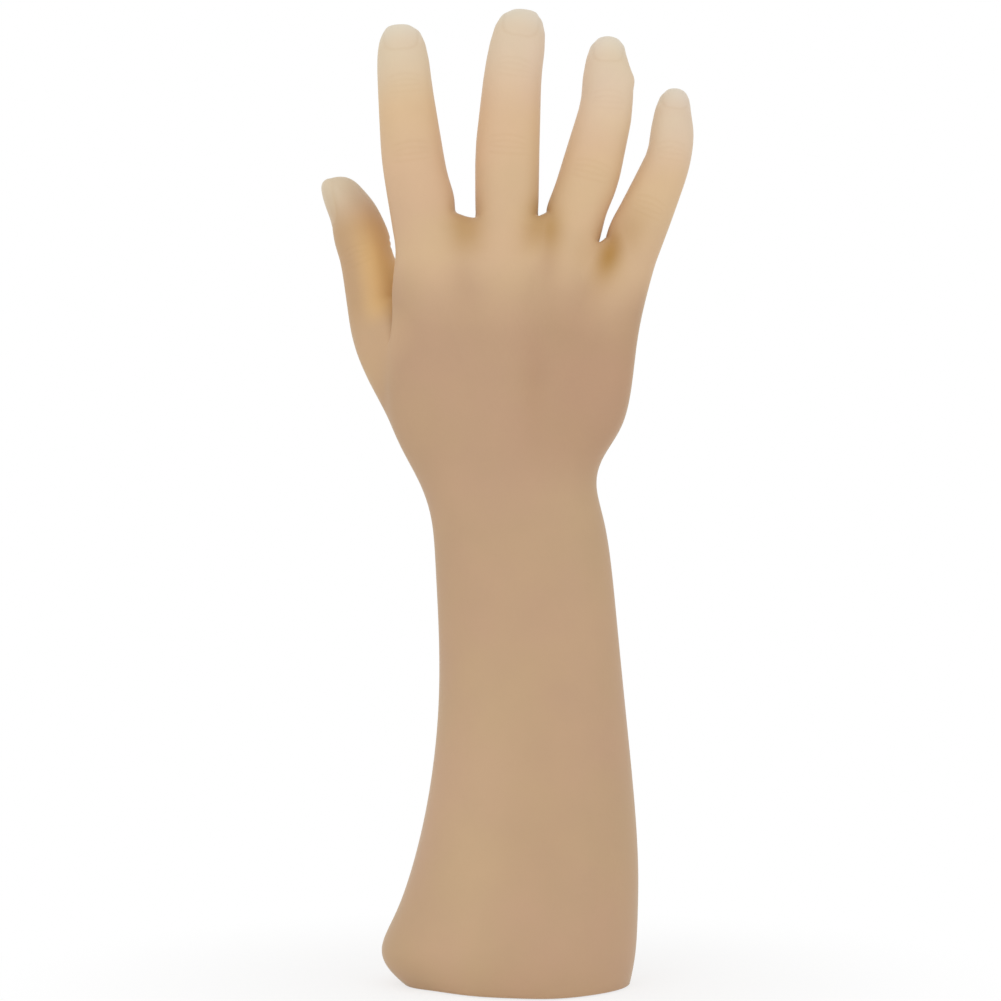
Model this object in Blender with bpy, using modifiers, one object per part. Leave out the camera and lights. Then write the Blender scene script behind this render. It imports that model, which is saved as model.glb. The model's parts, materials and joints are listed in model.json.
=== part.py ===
"""Practice hand on a forearm: soft silicone cast over a jointed finger skeleton.

It stands upright on the flat cut end of the forearm. +Z is up, the back of the hand faces -Y,
the palm faces +Y and the thumb is on the -X side. The origin is on the base, under the middle.
Lengths are in metres, written as millimetres times MM.
"""

from dataclasses import dataclass
from math import cos, exp, pi, radians, sin, sqrt

import bmesh
import bpy
from mathutils import Matrix, Vector

MM = 0.001

# Clearances
FIT_GAP = 0.3 * MM             # between pieces that touch
SEAM_GAP = 0.3 * MM            # between the silicone of the arm and that of a digit
TURN_GAP = 0.5 * MM            # between a link's shoulder and the ears that turn past it

# Silicone form, before its subdivision
COLUMN_START = 138.0 * MM      # height where the rings start to gather under the fingers
ROOT_DROP = 17.0 * MM          # from the fingers' roots down to the last ring of the palm
RING_ROUNDNESS = 2.1           # exponent of the forearm's section
PALM_SQUARENESS = 2.7          # exponent of the palm's section under the fingers
COLUMN_SIDE = 0.86             # share of a finger's half width where its side columns start
EDGE_SHARE = 0.975             # no column lies nearer the palm's edges
SMOOTHING_SHRINK = 0.902       # subdividing an eight-sided ring leaves this share of its radius
WEB_CREASE = 0.55              # sharpness of the corners between the fingers
SUBDIVISIONS = 1

# Where the silicone is parted
CUT_BELOW_KNUCKLE = 9.0 * MM   # far enough for the links to turn without touching the arm
THUMB_SIDE = 11.0 * MM         # from the thumb's axis to the cut that parts it from the palm
CUTTER_REACH = 120.0 * MM

# Skeleton
LINK_CHAMFER = 0.34            # share of a link's thinner half
TONGUE_SHARE = 0.34            # a tongue's part of its link's width
CLEVIS_LENGTH = 15.0 * MM      # straight stretch of a palm bar below its knuckle
BAR_FOOT_WIDTH = 9.0 * MM
BAR_FOOT_DEPTH = 9.0 * MM
PIN_DIAMETER = 3.0 * MM
PIN_INSET = 0.6 * MM           # each end of a pin lies this far inside its ears
PIN_SIDES = 12
LINK_TAPER = 0.06              # what a digit's links lose from one hinge to the next
TIP_SHARE = 0.74               # size of the last link's end
TIP_COVER = 6.5 * MM           # silicone over the end of the last link
ROUNDING = (72.0, 45.0, 20.0)  # degrees round a hinge where a link's end has its sections

# Armature
ROD_DIAMETER = 8.0 * MM
ROD_X = 4.0 * MM
ROD_FOOT = 2.5 * MM
ROD_IN_BLOCK = 9.0 * MM        # the rod ends this far above the middle of the carpal block
ROD_SIDES = 24
CARPAL_X = 0.0 * MM
CARPAL_HEIGHT = 190.0 * MM
CARPAL_WIDTH = 42.0 * MM
CARPAL_DEPTH = 13.0 * MM
CARPAL_LENGTH = 26.0 * MM
BOSS_DIAMETER = 17.0 * MM
BOSS_LENGTH = 27.0 * MM        # below the middle of the carpal block
BOSS_FOOT = CARPAL_HEIGHT - BOSS_LENGTH
ROD_TOP = CARPAL_HEIGHT + ROD_IN_BLOCK
NUT_ACROSS = 13.0 * MM
NUT_HEIGHT = 6.5 * MM
WASHER_DIAMETER = 24.0 * MM
WASHER_THICKNESS = 2.0 * MM

# Foam core of the forearm
CORE_HEIGHT = 112.0 * MM
CORE_FOOT = (33.0 * MM, 27.0 * MM)      # half width and half depth at the base
CORE_CROWN = (20.0 * MM, 15.5 * MM)     # the same at its upper end
CORE_SIDES = 32
CORE_FOOT_X = 1.5 * MM
CORE_CROWN_X = 7.0 * MM
RECESS_DIAMETER = 28.0 * MM
RECESS_DEPTH = 13.0 * MM

# Forearm and palm, from the base up: height, thumb edge, little-finger edge, back, palm side
SECTIONS_MM = (
    (-5.0, -31.0, 43.0, -33.0, 33.0),
    (2.5, -41.6, 45.0, -34.8, 35.0),
    (11.5, -48.2, 46.7, -36.8, 36.8),
    (24.0, -40.5, 47.2, -35.2, 35.6),
    (42.0, -34.3, 47.6, -32.5, 33.8),
    (66.0, -28.6, 46.0, -29.5, 31.0),
    (96.0, -24.9, 42.9, -26.0, 28.0),
    (124.0, -24.9, 40.1, -22.8, 24.8),
    (148.0, -26.3, 37.9, -20.5, 22.0),
    (166.0, -27.1, 35.4, -19.0, 19.8),
    (178.5, -31.2, 31.2, -18.2, 18.6),
    (189.0, -37.4, 33.6, -17.6, 19.2),
    (201.0, -43.5, 42.4, -17.0, 19.8),
    (218.0, -44.4, 45.2, -16.4, 18.8),
    (236.0, -43.4, 46.6, -15.5, 16.2),
    (253.0, -41.8, 48.7, -14.5, 14.0),
)
THUMB_ROOT_DROP = 19.0 * MM    # from the thumb's first hinge down to the middle of its root
THUMB_ROOT_REACH = 22.0 * MM
THUMB_ROOT_SHARES = (-0.88, -0.46, -0.30, -0.16)  # the palm side's columns at the thumb's root

# Swellings of the palm side: x, height, reach across, reach up, swell
PALM_SWELLS_MM = (
    (-29.0, 206.0, 16.0, 21.0, 13.0),
    (27.0, 204.0, 15.0, 26.0, 6.0),
    (1.0, 222.0, 14.0, 24.0, -4.5),
)


@dataclass
class Digit:
    """One finger or the thumb, in millimetres and degrees, from its palm bone to its tip."""
    carpal: tuple       # foot of its palm bone, from the middle of the carpal block
    knuckle: tuple      # first hinge
    bones: tuple        # lengths, the last one out to the skin of the tip
    leans: tuple        # each bone's lean towards the little finger
    curls: tuple        # each bone's lean towards the palm
    root: float         # from the knuckle up to the web
    half_widths: tuple  # of the skin at the root, each hinge and the pad
    half_depths: tuple
    link_width: float
    link_depth: float
    roll: float = 0.0   # turns the hinges about the digit's own line


DIGITS = {
    "index": Digit((-12, 0, 0), (-27.6, 0, 256.5), (41.2, 24.9, 25.7), (-9.5, -6.3, -4.9), (3, 8, 13),
                   15.8, (11.3, 11.3, 9.9, 8.9), (10.0, 9.6, 8.4, 7.6), 12.0, 11.0),
    "middle": Digit((-2, 0, 2), (-0.5, 0, 255.0), (44.6, 28.2, 25.3), (0.4, 4.0, 9.2), (3, 7, 12),
                    21.5, (11.2, 11.6, 10.4, 9.5), (10.2, 9.8, 8.8, 7.9), 12.0, 11.0),
    "ring": Digit((8, 0, 0), (17.4, 0, 251.0), (41.2, 26.7, 27.0), (17.0, 14.4, 1.6), (4, 9, 14),
                  20.0, (10.4, 10.9, 9.6, 8.2), (9.6, 9.2, 8.0, 7.2), 11.0, 10.0),
    "little": Digit((17, 0, -3), (36.9, 0, 243.5), (36.4, 22.4, 26.8), (21.2, 23.2, 6.6), (5, 10, 15),
                    18.0, (9.8, 9.6, 8.2, 7.3), (8.6, 8.2, 7.1, 6.3), 10.0, 9.0),
    "thumb": Digit((-17, 3, -3), (-45.4, 17.0, 233.0), (31.2, 29.8), (-10.6, -22.5), (6, 1),
                   4.0, (11.2, 10.1, 9.3), (12.8, 11.0, 9.8), 12.0, 11.0, roll=28.0),
}
FINGERS = ("index", "middle", "ring", "little")
STATION_SHARES = {             # where each bone of a digit has its skin sections
    3: ((0.62, 0.90), (0.12, 0.50, 0.88), (0.14, 0.42)),
    2: ((0.04, 0.34, 0.64, 0.92), (0.14, 0.42)),
}
TIP_STATIONS = ((0.68, 0.97), (0.86, 0.79), (0.965, 0.46))  # place on the last bone, share of its pad
HINGE_NAMES = {3: ("knuckle", "middle", "end"), 2: ("knuckle", "end")}
LINK_NAMES = {3: ("root", "middle", "tip"), 2: ("root", "tip")}
THUMB_BASE_SHARE = 0.84        # place on the thumb's palm bone where its own form starts
THUMB_BASE_HALF = (12.6 * MM, 15.0 * MM)

for leftover in list(bpy.data.objects):
    bpy.data.objects.remove(leftover)


def new_collection(name):
    collection = bpy.data.collections.new(name)
    bpy.context.scene.collection.children.link(collection)
    return collection


PARTS = new_collection("practice_hand")
CUTTERS = new_collection("cutters")


def make_material(name, colour, roughness, metallic=0.0):
    material = bpy.data.materials.new(name)
    material.use_nodes = True
    shader = material.node_tree.nodes["Principled BSDF"]
    shader.inputs["Base Color"].default_value = (*colour, 1.0)
    shader.inputs["Roughness"].default_value = roughness
    shader.inputs["Metallic"].default_value = metallic
    return material


SILICONE = make_material("flesh_silicone", (0.58, 0.38, 0.22), 0.45)
FOAM = make_material("rigid_foam", (0.80, 0.72, 0.50), 0.85)
NYLON = make_material("white_nylon", (0.83, 0.82, 0.78), 0.40)
STEEL = make_material("zinc_plated_steel", (0.62, 0.62, 0.60), 0.30, 1.0)


def add_object(name, bm, material=None):
    """Turns a bmesh into a named part, or into a hidden cutter when it has no material."""
    bmesh.ops.recalc_face_normals(bm, faces=bm.faces[:])
    mesh = bpy.data.meshes.new(name)
    bm.to_mesh(mesh)
    bm.free()
    part = bpy.data.objects.new(name, mesh)
    if material:
        mesh.materials.append(material)
        PARTS.objects.link(part)
    else:
        part.hide_render = True
        part.display_type = "WIRE"
        CUTTERS.objects.link(part)
    return part


def combine(part, other, operation):
    """Adds a live Boolean: UNION, DIFFERENCE or INTERSECT."""
    modifier = part.modifiers.new(other.name, "BOOLEAN")
    modifier.operation = operation
    modifier.solver = "EXACT"
    modifier.object = other


def shade(part, angle=35.0):
    part.data.shade_smooth()
    part.data.set_sharp_from_angle(angle=radians(angle))


def hold(part, parent):
    """Parents a part to its joint's empty and leaves it where it is."""
    part.parent = parent
    part.matrix_parent_inverse = parent.matrix_world.inverted()


def cylinder(name, radius, height, matrix, material=None, segments=12):
    bm = bmesh.new()
    bmesh.ops.create_cone(bm, cap_ends=True, segments=segments, radius1=radius, radius2=radius,
                          depth=height, matrix=matrix)
    return add_object(name, bm, material)


def box(name, size, matrix, material=None):
    bm = bmesh.new()
    bmesh.ops.create_cube(bm, size=1.0, matrix=matrix @ Matrix.Diagonal((*size, 1.0)))
    return add_object(name, bm, material)


def mix(low, high, share):
    return low + (high - low) * share


# Bones of each digit

@dataclass
class Bone:
    start: Vector
    direction: Vector
    hinge: Vector       # the axis it turns on
    palm: Vector        # the side it flexes to
    length: float

    def at(self, share):
        return self.start + self.direction * self.length * share

    def frame(self, along=0.0):
        """Placement with X on the hinge, Y to the palm and Z along the bone."""
        rows = (self.hinge, self.palm, self.direction)
        return Matrix.Translation(self.start + self.direction * along) @ Matrix(rows).transposed().to_4x4()


def bone_between(start, direction, length, roll):
    level = Vector((direction.z, 0.0, -direction.x)).normalized()
    palmward = direction.cross(level)
    hinge = level * cos(roll) - palmward * sin(roll)
    return Bone(start, direction, hinge, direction.cross(hinge), length)


def bones_of(digit):
    """The palm bone first, then one bone for each link."""
    roll = radians(digit.roll)
    carpal = Vector(digit.carpal) * MM + Vector((CARPAL_X, 0, CARPAL_HEIGHT))
    knuckle = Vector(digit.knuckle) * MM
    run = knuckle - carpal
    bones = [bone_between(carpal, run.normalized(), run.length, roll)]
    start = knuckle
    for length, lean, curl in zip(digit.bones, digit.leans, digit.curls):
        lean, curl = radians(lean), radians(curl)
        direction = Vector((sin(lean) * cos(curl), sin(curl), cos(lean) * cos(curl)))
        bones.append(bone_between(start, direction, length * MM, roll))
        start = bones[-1].at(1.0)
    return bones


BONES = {name: bones_of(digit) for name, digit in DIGITS.items()}


def root_point(name):
    digit = DIGITS[name]
    first = BONES[name][1]
    return first.start + first.direction * digit.root * MM


# Silicone form

def root_height(x):
    """Height of the line through the fingers' roots."""
    points = [root_point(name) for name in FINGERS]
    for left, right in zip(points, points[1:]):
        if x <= right.x or right is points[-1]:
            return mix(left.z, right.z, (x - left.x) / (right.x - left.x))


def thumb_root_height():
    return BONES["thumb"][1].start.z - THUMB_ROOT_DROP


def palm_swell(x, z):
    swell = 0.0
    for at_x, at_z, across, up, amount in PALM_SWELLS_MM:
        swell += amount * MM * exp(-((x / MM - at_x) / across) ** 2 - ((z / MM - at_z) / up) ** 2)
    return swell


def column_shares():
    """Three columns for each finger, its two sides and its middle, as shares of the last ring."""
    _, left, right, _, _ = SECTIONS_MM[-1]
    middle, half = (left + right) / 2 * MM, (right - left) / 2 * MM
    shares = []
    for name in FINGERS:
        root = root_point(name)
        side = COLUMN_SIDE * DIGITS[name].half_widths[0] * MM
        shares += [(x - middle) / half for x in (root.x - side, root.x, root.x + side)]
    return [max(-EDGE_SHARE, min(EDGE_SHARE, share)) for share in shares]


def ring_points(section):
    """Twenty-six points round one section: the thumb edge, the back, the far edge, the palm side."""
    height, left, right, back, front = (value * MM for value in section)
    top = SECTIONS_MM[-1][0] * MM
    gather = max(0.0, (height - COLUMN_START) / (top - COLUMN_START))
    middle, half = (left + right) / 2, (right - left) / 2
    power = mix(RING_ROUNDNESS, PALM_SQUARENESS, gather)

    def lift(x):
        return height + (root_height(x) - ROOT_DROP - top) * gather ** 3

    def point(share, depth):
        x = middle + half * share
        z = lift(x)
        y = depth * max(0.0, 1 - abs(share) ** power) ** (1 / power)
        if depth > 0:
            y += palm_swell(x, z) * (1 - share ** 4)
        return Vector((x, y, z))

    even = [-cos(pi * (step + 1) / 13) for step in range(12)]
    shares = [mix(place, column, gather) for place, column in zip(even, column_shares())]
    pull = exp(-((height - thumb_root_height()) / THUMB_ROOT_REACH) ** 2)
    near_thumb = len(THUMB_ROOT_SHARES)
    palm_shares = [mix(share, wide, pull) for share, wide in zip(shares, THUMB_ROOT_SHARES)]
    palm_shares += shares[near_thumb:]
    points = [Vector((left, 0, lift(left)))]
    points += [point(share, back) for share in shares]
    points.append(Vector((right, 0, lift(right))))
    points += [point(share, front) for share in reversed(palm_shares)]
    return points


def place_block(block, centre, across, depth, half_width, half_depth):
    """Moves a three by three block of points onto a round section."""
    for row, down in zip(block, (-1, 0, 1)):
        for vertex, over in zip(row, (-1, 0, 1)):
            corner = sqrt(0.5) if down and over else 1.0
            offset = across * over * half_width + depth * down * half_depth
            vertex.co = centre + offset * corner / SMOOTHING_SHRINK


def extrude_block(bm, rows, faces):
    """Extrudes faces and returns the same rows of points on the new ones."""
    made = bmesh.ops.extrude_face_region(bm, geom=faces)["geom"]
    new_faces = [item for item in made if isinstance(item, bmesh.types.BMFace)]
    new_points = [item for item in made if isinstance(item, bmesh.types.BMVert)]

    def twin(vertex):
        return min(new_points, key=lambda point: (point.co - vertex.co).length_squared)

    new_rows = [[twin(vertex) for vertex in row] for row in rows]
    bmesh.ops.delete(bm, geom=faces, context="FACES")
    return new_rows, new_faces


def faces_between(rows):
    """The faces whose corners are neighbours in rows."""
    found = []
    for upper, lower in zip(rows, rows[1:]):
        for a, b, c, d in zip(upper, upper[1:], lower[1:], lower):
            corners = {a, b, c, d}
            found += [face for face in a.link_faces if set(face.verts) == corners]
    return found


def close_ring(bm, ring):
    """Fills a ring of twenty-six points with quads and returns its three rows."""
    back = ring[1:13]
    front = ring[:13:-1]
    inner = [bm.verts.new((a.co + b.co) / 2) for a, b in zip(back[1:-1], front[1:-1])]
    rows = [back, [ring[0], *inner, ring[13]], front]
    for upper, lower in zip(rows, rows[1:]):
        for a, b, c, d in zip(upper, upper[1:], lower[1:], lower):
            bm.faces.new((a, b, c, d))
    return rows


def crease_webs(bm, rows):
    """Keeps the corners where the fingers' sides meet the webs from rounding away."""
    crease = bm.edges.layers.float.new("crease_edge")
    for upper, lower in zip(rows, rows[1:]):
        for right_side in range(2, len(upper) - 1, 3):
            for place in (right_side, right_side + 1):
                bm.edges.get((upper[place], lower[place]))[crease] = WEB_CREASE


def digit_stations(name):
    """Sections of a digit's skin above its root: centre, bone, half width, half depth."""
    digit, bones = DIGITS[name], BONES[name][1:]
    shares = STATION_SHARES[len(bones)]
    stations = []
    for number, (bone, places) in enumerate(zip(bones, shares)):
        for place in places:
            width = mix(*digit.half_widths[number:number + 2], place)
            depth = mix(*digit.half_depths[number:number + 2], place)
            stations.append((bone.at(place), bone, width * MM, depth * MM))
    tip = bones[-1]
    for place, size in TIP_STATIONS:
        stations.append((tip.at(place), tip, digit.half_widths[-1] * size * MM,
                         digit.half_depths[-1] * size * MM))
    return stations


def hand_form():
    """The whole silicone outside as one coarse cage."""
    bm = bmesh.new()
    ring = bmesh.ops.create_circle(bm, segments=26, radius=MM)["verts"]
    rings = []
    for number, section in enumerate(SECTIONS_MM):
        if number:
            edges = [bm.edges.get((ring[i], ring[i - 1])) for i in range(26)]
            made = bmesh.ops.extrude_edge_only(bm, edges=edges)["geom"]
            new_points = [item for item in made if isinstance(item, bmesh.types.BMVert)]
            ring = [min(new_points, key=lambda v: (v.co - old.co).length_squared) for old in ring]
        for vertex, place in zip(ring, ring_points(section)):
            vertex.co = place
        rings.append(ring)
    close_ring(bm, rings[0])
    rows = close_ring(bm, rings[-1])
    rows, _ = extrude_block(bm, rows, faces_between(rows))
    crease_webs(bm, rows)
    blocks = {}
    for number, name in enumerate(FINGERS):
        digit, bone = DIGITS[name], BONES[name][1]
        block = [row[3 * number:3 * number + 3] for row in rows]
        place_block(block, root_point(name), bone.hinge, bone.palm,
                    digit.half_widths[0] * MM, digit.half_depths[0] * MM)
        blocks[name] = block
    away = [abs(section[0] * MM - thumb_root_height()) for section in SECTIONS_MM]
    middle = away.index(min(away))
    side = rings[middle - 1:middle + 2]
    blocks["thumb"] = [[ring[0] for ring in side], [ring[25] for ring in side], [ring[24] for ring in side]]
    palm_bone = BONES["thumb"][0]
    thumb_base = (palm_bone.at(THUMB_BASE_SHARE), palm_bone, *THUMB_BASE_HALF)
    for name, block in blocks.items():
        stations = digit_stations(name)
        if name == "thumb":
            stations.insert(0, thumb_base)
        for centre, bone, half_width, half_depth in stations:
            block, _ = extrude_block(bm, block, faces_between(block))
            place_block(block, centre, bone.hinge, bone.palm, half_width, half_depth)
    return bm


def silicone(name):
    skin = add_object(name, hand_form(), SILICONE)
    smooth = skin.modifiers.new("soft_form", "SUBSURF")
    smooth.levels = smooth.render_levels = SUBDIVISIONS
    skin.data.shade_smooth()
    return skin


def prism(name, outline):
    """A cutter that runs from front to back through the whole hand; the outline is in X and Z."""
    bm = bmesh.new()
    face = bm.faces.new([bm.verts.new((point.x, -CUTTER_REACH, point.z)) for point in outline])
    far = bmesh.ops.extrude_face_region(bm, geom=[face], use_keep_orig=True)["geom"]
    far_points = [item for item in far if isinstance(item, bmesh.types.BMVert)]
    bmesh.ops.translate(bm, verts=far_points, vec=(0, 2 * CUTTER_REACH, 0))
    return add_object(name, bm)


# Parting of the silicone

def cut_point(name):
    first = BONES[name][1]
    return first.start - first.direction * CUT_BELOW_KNUCKLE


def web_lines():
    """The line between each pair of fingers: from the cut, through the web, to above the tips."""
    lines = []
    for left, right in zip(FINGERS, FINGERS[1:]):
        foot = (cut_point(left) + cut_point(right)) / 2
        web = (root_point(left) + root_point(right)) / 2
        rise = (BONES[left][1].direction + BONES[right][1].direction).normalized()
        lines.append((foot, web, web + rise * CUTTER_REACH))
    edges = []
    for name, side in ((FINGERS[0], -CUTTER_REACH), (FINGERS[-1], CUTTER_REACH)):
        foot = Vector((side, 0, cut_point(name).z))
        edges.append((foot, foot + Vector((0, 0, CUTTER_REACH)), foot + Vector((0, 0, 2 * CUTTER_REACH))))
    return [edges[0], *lines, edges[1]]


def finger_region(number, gap):
    lines = web_lines()
    aside = Vector((gap, 0, 0))
    up = Vector((0, 0, gap))
    left = [point + aside for point in lines[number]]
    right = [point - aside for point in lines[number + 1]]
    left[0] += up
    right[0] += up
    return prism(FINGERS[number] + "_region", [*left, *reversed(right), cut_point(FINGERS[number]) + up])


def all_fingers_region(gap):
    lines = web_lines()
    down = Vector((0, 0, gap))
    foot = []
    for line, name in zip(lines, FINGERS):
        foot += [line[0] - down, cut_point(name) - down]
    foot.append(lines[-1][0] - down)
    return prism("all_fingers_region", [lines[0][2], *foot, lines[-1][2]])


def thumb_region(name, gap):
    """A box on the thumb's first hinge, open to the outside of the hand."""
    first = BONES["thumb"][1]
    low = Vector((-CUTTER_REACH / 2, -CUTTER_REACH / 2, gap - CUT_BELOW_KNUCKLE))
    high = Vector((THUMB_SIDE - gap, CUTTER_REACH / 2, CUTTER_REACH))
    return box(name, high - low, first.frame() @ Matrix.Translation((low + high) / 2))


# Skeleton links

def link_halves(name, hinge):
    """Half width and half depth of a digit's links at one of its hinges, counted from the knuckle."""
    digit = DIGITS[name]
    taper = 1 - LINK_TAPER * hinge
    return digit.link_width / 2 * taper * MM, digit.link_depth / 2 * taper * MM


def loft(name, stations, material=None):
    """Closed solid through eight-sided sections: a flat bar with its four long edges chamfered."""
    bm = bmesh.new()
    ring = []
    for centre, bone, half_width, half_depth in stations:
        chamfer = LINK_CHAMFER * min(half_width, half_depth)
        flat_width, flat_depth = half_width - chamfer, half_depth - chamfer
        quarter = ((half_width, flat_depth), (flat_width, half_depth))
        corners = [*quarter, *((-u, v) for u, v in reversed(quarter)),
                   *((-u, -v) for u, v in quarter), *((u, -v) for u, v in reversed(quarter))]
        next_ring = [bm.verts.new(centre + bone.hinge * u + bone.palm * v) for u, v in corners]
        if ring:
            for i in range(len(ring)):
                bm.faces.new((ring[i - 1], ring[i], next_ring[i], next_ring[i - 1]))
        else:
            bm.faces.new(next_ring)
        ring = next_ring
    bm.faces.new(ring)
    # A twisted bar and the room for it are split along the same diagonals, so their gap stays even
    bmesh.ops.triangulate(bm, faces=bm.faces[:], quad_method="FIXED")
    return add_object(name, bm, material)


def rounded_end(bone, half_width, half_depth, side, along=0.0):
    """Sections of an end that is round about a hinge line; side is -1 below it and 1 above it."""
    stations = []
    for angle in ROUNDING:
        centre = bone.start + bone.direction * (along + side * half_depth * sin(radians(angle)))
        stations.append((centre, bone, half_width, half_depth * cos(radians(angle))))
    return stations if side < 0 else stations[::-1]


def tip_end(name):
    """Where the last link ends, along its bone, and its half width and half depth there."""
    half_width, half_depth = link_halves(name, len(BONES[name]) - 2)
    half_width, half_depth = half_width * TIP_SHARE, half_depth * TIP_SHARE
    return BONES[name][-1].length - TIP_COVER - half_depth, half_width, half_depth


def link_stations(name, number):
    """Sections of one link, from the hinge below it to the one above, or to its tip."""
    bones = BONES[name]
    bone = bones[number]
    foot = link_halves(name, number - 1)
    stations = [*rounded_end(bone, *foot, -1), (bone.start, bone, *foot)]
    if number + 1 < len(bones):
        above = bones[number + 1]
        head = link_halves(name, number)
        return [*stations, (above.start, above, *head), *rounded_end(above, *head, 1)]
    along, *end = tip_end(name)
    centre = bone.start + bone.direction * along
    return [*stations, (centre, bone, *end), *rounded_end(bone, *end, 1, along)]


def bar_stations(name):
    """Sections of a palm bar, from the carpal block to the ears round the knuckle."""
    palm_bone, first = BONES[name][:2]
    head = link_halves(name, 0)
    neck = first.start - first.direction * CLEVIS_LENGTH
    return [(palm_bone.start, palm_bone, BAR_FOOT_WIDTH / 2, BAR_FOOT_DEPTH / 2),
            (neck, first, *head), (first.start, first, *head), *rounded_end(first, *head, 1)]


def cavity(name):
    """The room that a digit's bar and links take in the silicone, with the fit gap all round."""
    bones = BONES[name]
    stations = bar_stations(name)[:2]
    for number, bone in enumerate(bones[1:]):
        halves = link_halves(name, number)
        ears_end = bone.start + bone.direction * halves[1]
        stations += [(bone.start, bone, *halves), (ears_end, bone, *halves)]
    stations += link_stations(name, len(bones) - 1)[4:]
    grown = [(centre, bone, width + FIT_GAP, depth + FIT_GAP) for centre, bone, width, depth in stations]
    for place, side in ((0, -1), (-1, 1)):
        centre, bone, *halves = grown[place]
        grown[place] = (centre + bone.direction * side * FIT_GAP, bone, *halves)
    return loft(name + "_cavity", grown)


@dataclass
class HingeCutters:
    slot: object        # between the two ears
    sides: object       # beside the tongue
    hole: object        # for the pin


def hinge_cutters(name, number):
    """Cutters of one hinge, in the frame of the bone above it."""
    frame = BONES[name][number].frame()
    half_width, half_depth = link_halves(name, number - 1)
    tongue = 2 * half_width * TONGUE_SHARE
    shoulder = half_depth + TURN_GAP
    reach = 4 * half_depth
    label = f"{name}_{HINGE_NAMES[len(BONES[name]) - 1][number - 1]}"
    slot = box(label + "_slot", (tongue + 2 * FIT_GAP, reach, 2 * shoulder), frame)
    bm = bmesh.new()
    for side in (-1, 1):
        place = Matrix.Translation((side * (tongue + half_width) / 2, 0, 0))
        size = Matrix.Diagonal((half_width, reach, 2 * shoulder, 1.0))
        bmesh.ops.create_cube(bm, size=1.0, matrix=frame @ place @ size)
    sides = add_object(label + "_sides", bm)
    along_hinge = frame @ Matrix.Rotation(pi / 2, 4, "Y") @ Matrix.Rotation(pi / PIN_SIDES, 4, "Z")
    hole_radius = (PIN_DIAMETER / 2 + FIT_GAP) / cos(pi / PIN_SIDES)
    hole = cylinder(label + "_hole", hole_radius, 4 * half_width, along_hinge, segments=PIN_SIDES)
    pin = cylinder(label + "_pin", PIN_DIAMETER / 2, 2 * (half_width - PIN_INSET), along_hinge, STEEL,
                   PIN_SIDES)
    shade(pin)
    return HingeCutters(slot, sides, hole), pin


def place_hinge(name, number, parent):
    """An empty on a hinge line: turning it about its X flexes all that it carries."""
    label = f"{name}_{HINGE_NAMES[len(BONES[name]) - 1][number - 1]}_hinge"
    hinge = bpy.data.objects.new(label, None)
    hinge.empty_display_size = PIN_DIAMETER
    PARTS.objects.link(hinge)
    hinge.matrix_world = BONES[name][number].frame()
    bpy.context.view_layer.update()
    if parent:
        hold(hinge, parent)
    return hinge


# Armature and core

def oval_post(name, grow, foot, material=None):
    """The forearm core, or the room for it: an oval post that narrows and leans as the arm does."""
    bm = bmesh.new()
    bmesh.ops.create_cone(bm, cap_ends=True, segments=CORE_SIDES, radius1=1.0, radius2=1.0, depth=1.0)
    for vertex in bm.verts:
        height = CORE_HEIGHT + grow if vertex.co.z > 0 else foot
        share = height / CORE_HEIGHT
        vertex.co.x = (mix(CORE_FOOT[0], CORE_CROWN[0], share) + grow) * vertex.co.x
        vertex.co.x += mix(CORE_FOOT_X, CORE_CROWN_X, share)
        vertex.co.y = (mix(CORE_FOOT[1], CORE_CROWN[1], share) + grow) * vertex.co.y
        vertex.co.z = height
    return add_object(name, bm, material)


def upright(name, diameter, foot, head, material=None, segments=ROD_SIDES):
    """A cylinder on the rod's line between two heights."""
    centre = Matrix.Translation((ROD_X, 0, (foot + head) / 2))
    return cylinder(name, diameter / 2, head - foot, centre, material, segments)


def carpal_block(name, grow):
    size = [side + 2 * grow for side in (CARPAL_WIDTH, CARPAL_DEPTH, CARPAL_LENGTH)]
    return box(name, size, Matrix.Translation((CARPAL_X, 0, CARPAL_HEIGHT)))


def nut(name, foot, bore):
    part = upright(name, NUT_ACROSS / cos(pi / 6), foot, foot + NUT_HEIGHT, STEEL, 6)
    combine(part, bore, "DIFFERENCE")
    return part


rod_room = upright("rod_room", ROD_DIAMETER + 2 * FIT_GAP, ROD_FOOT - FIT_GAP, ROD_TOP + FIT_GAP)
armature_rod = upright("armature_rod", ROD_DIAMETER, ROD_FOOT, ROD_TOP, STEEL)
shade(armature_rod)

forearm_core = oval_post("forearm_core", 0.0, 0.0, FOAM)
shade(forearm_core)
recess = upright("core_recess", RECESS_DIAMETER, -RECESS_DEPTH, RECESS_DEPTH, segments=CORE_SIDES)
combine(forearm_core, rod_room, "DIFFERENCE")
combine(forearm_core, recess, "DIFFERENCE")

washer_foot = RECESS_DEPTH - FIT_GAP - WASHER_THICKNESS
anchor_washer = upright("anchor_washer", WASHER_DIAMETER, washer_foot, RECESS_DEPTH - FIT_GAP, STEEL,
                        CORE_SIDES)
combine(anchor_washer, rod_room, "DIFFERENCE")
anchor_nut = nut("anchor_nut", washer_foot - FIT_GAP - NUT_HEIGHT, rod_room)
rod_lock_nut = nut("rod_lock_nut", BOSS_FOOT - FIT_GAP - NUT_HEIGHT, rod_room)
nut_room = upright("lock_nut_room", NUT_ACROSS / cos(pi / 6) + 2 * FIT_GAP,
                   BOSS_FOOT - NUT_HEIGHT - 2 * FIT_GAP, BOSS_FOOT)

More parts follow.
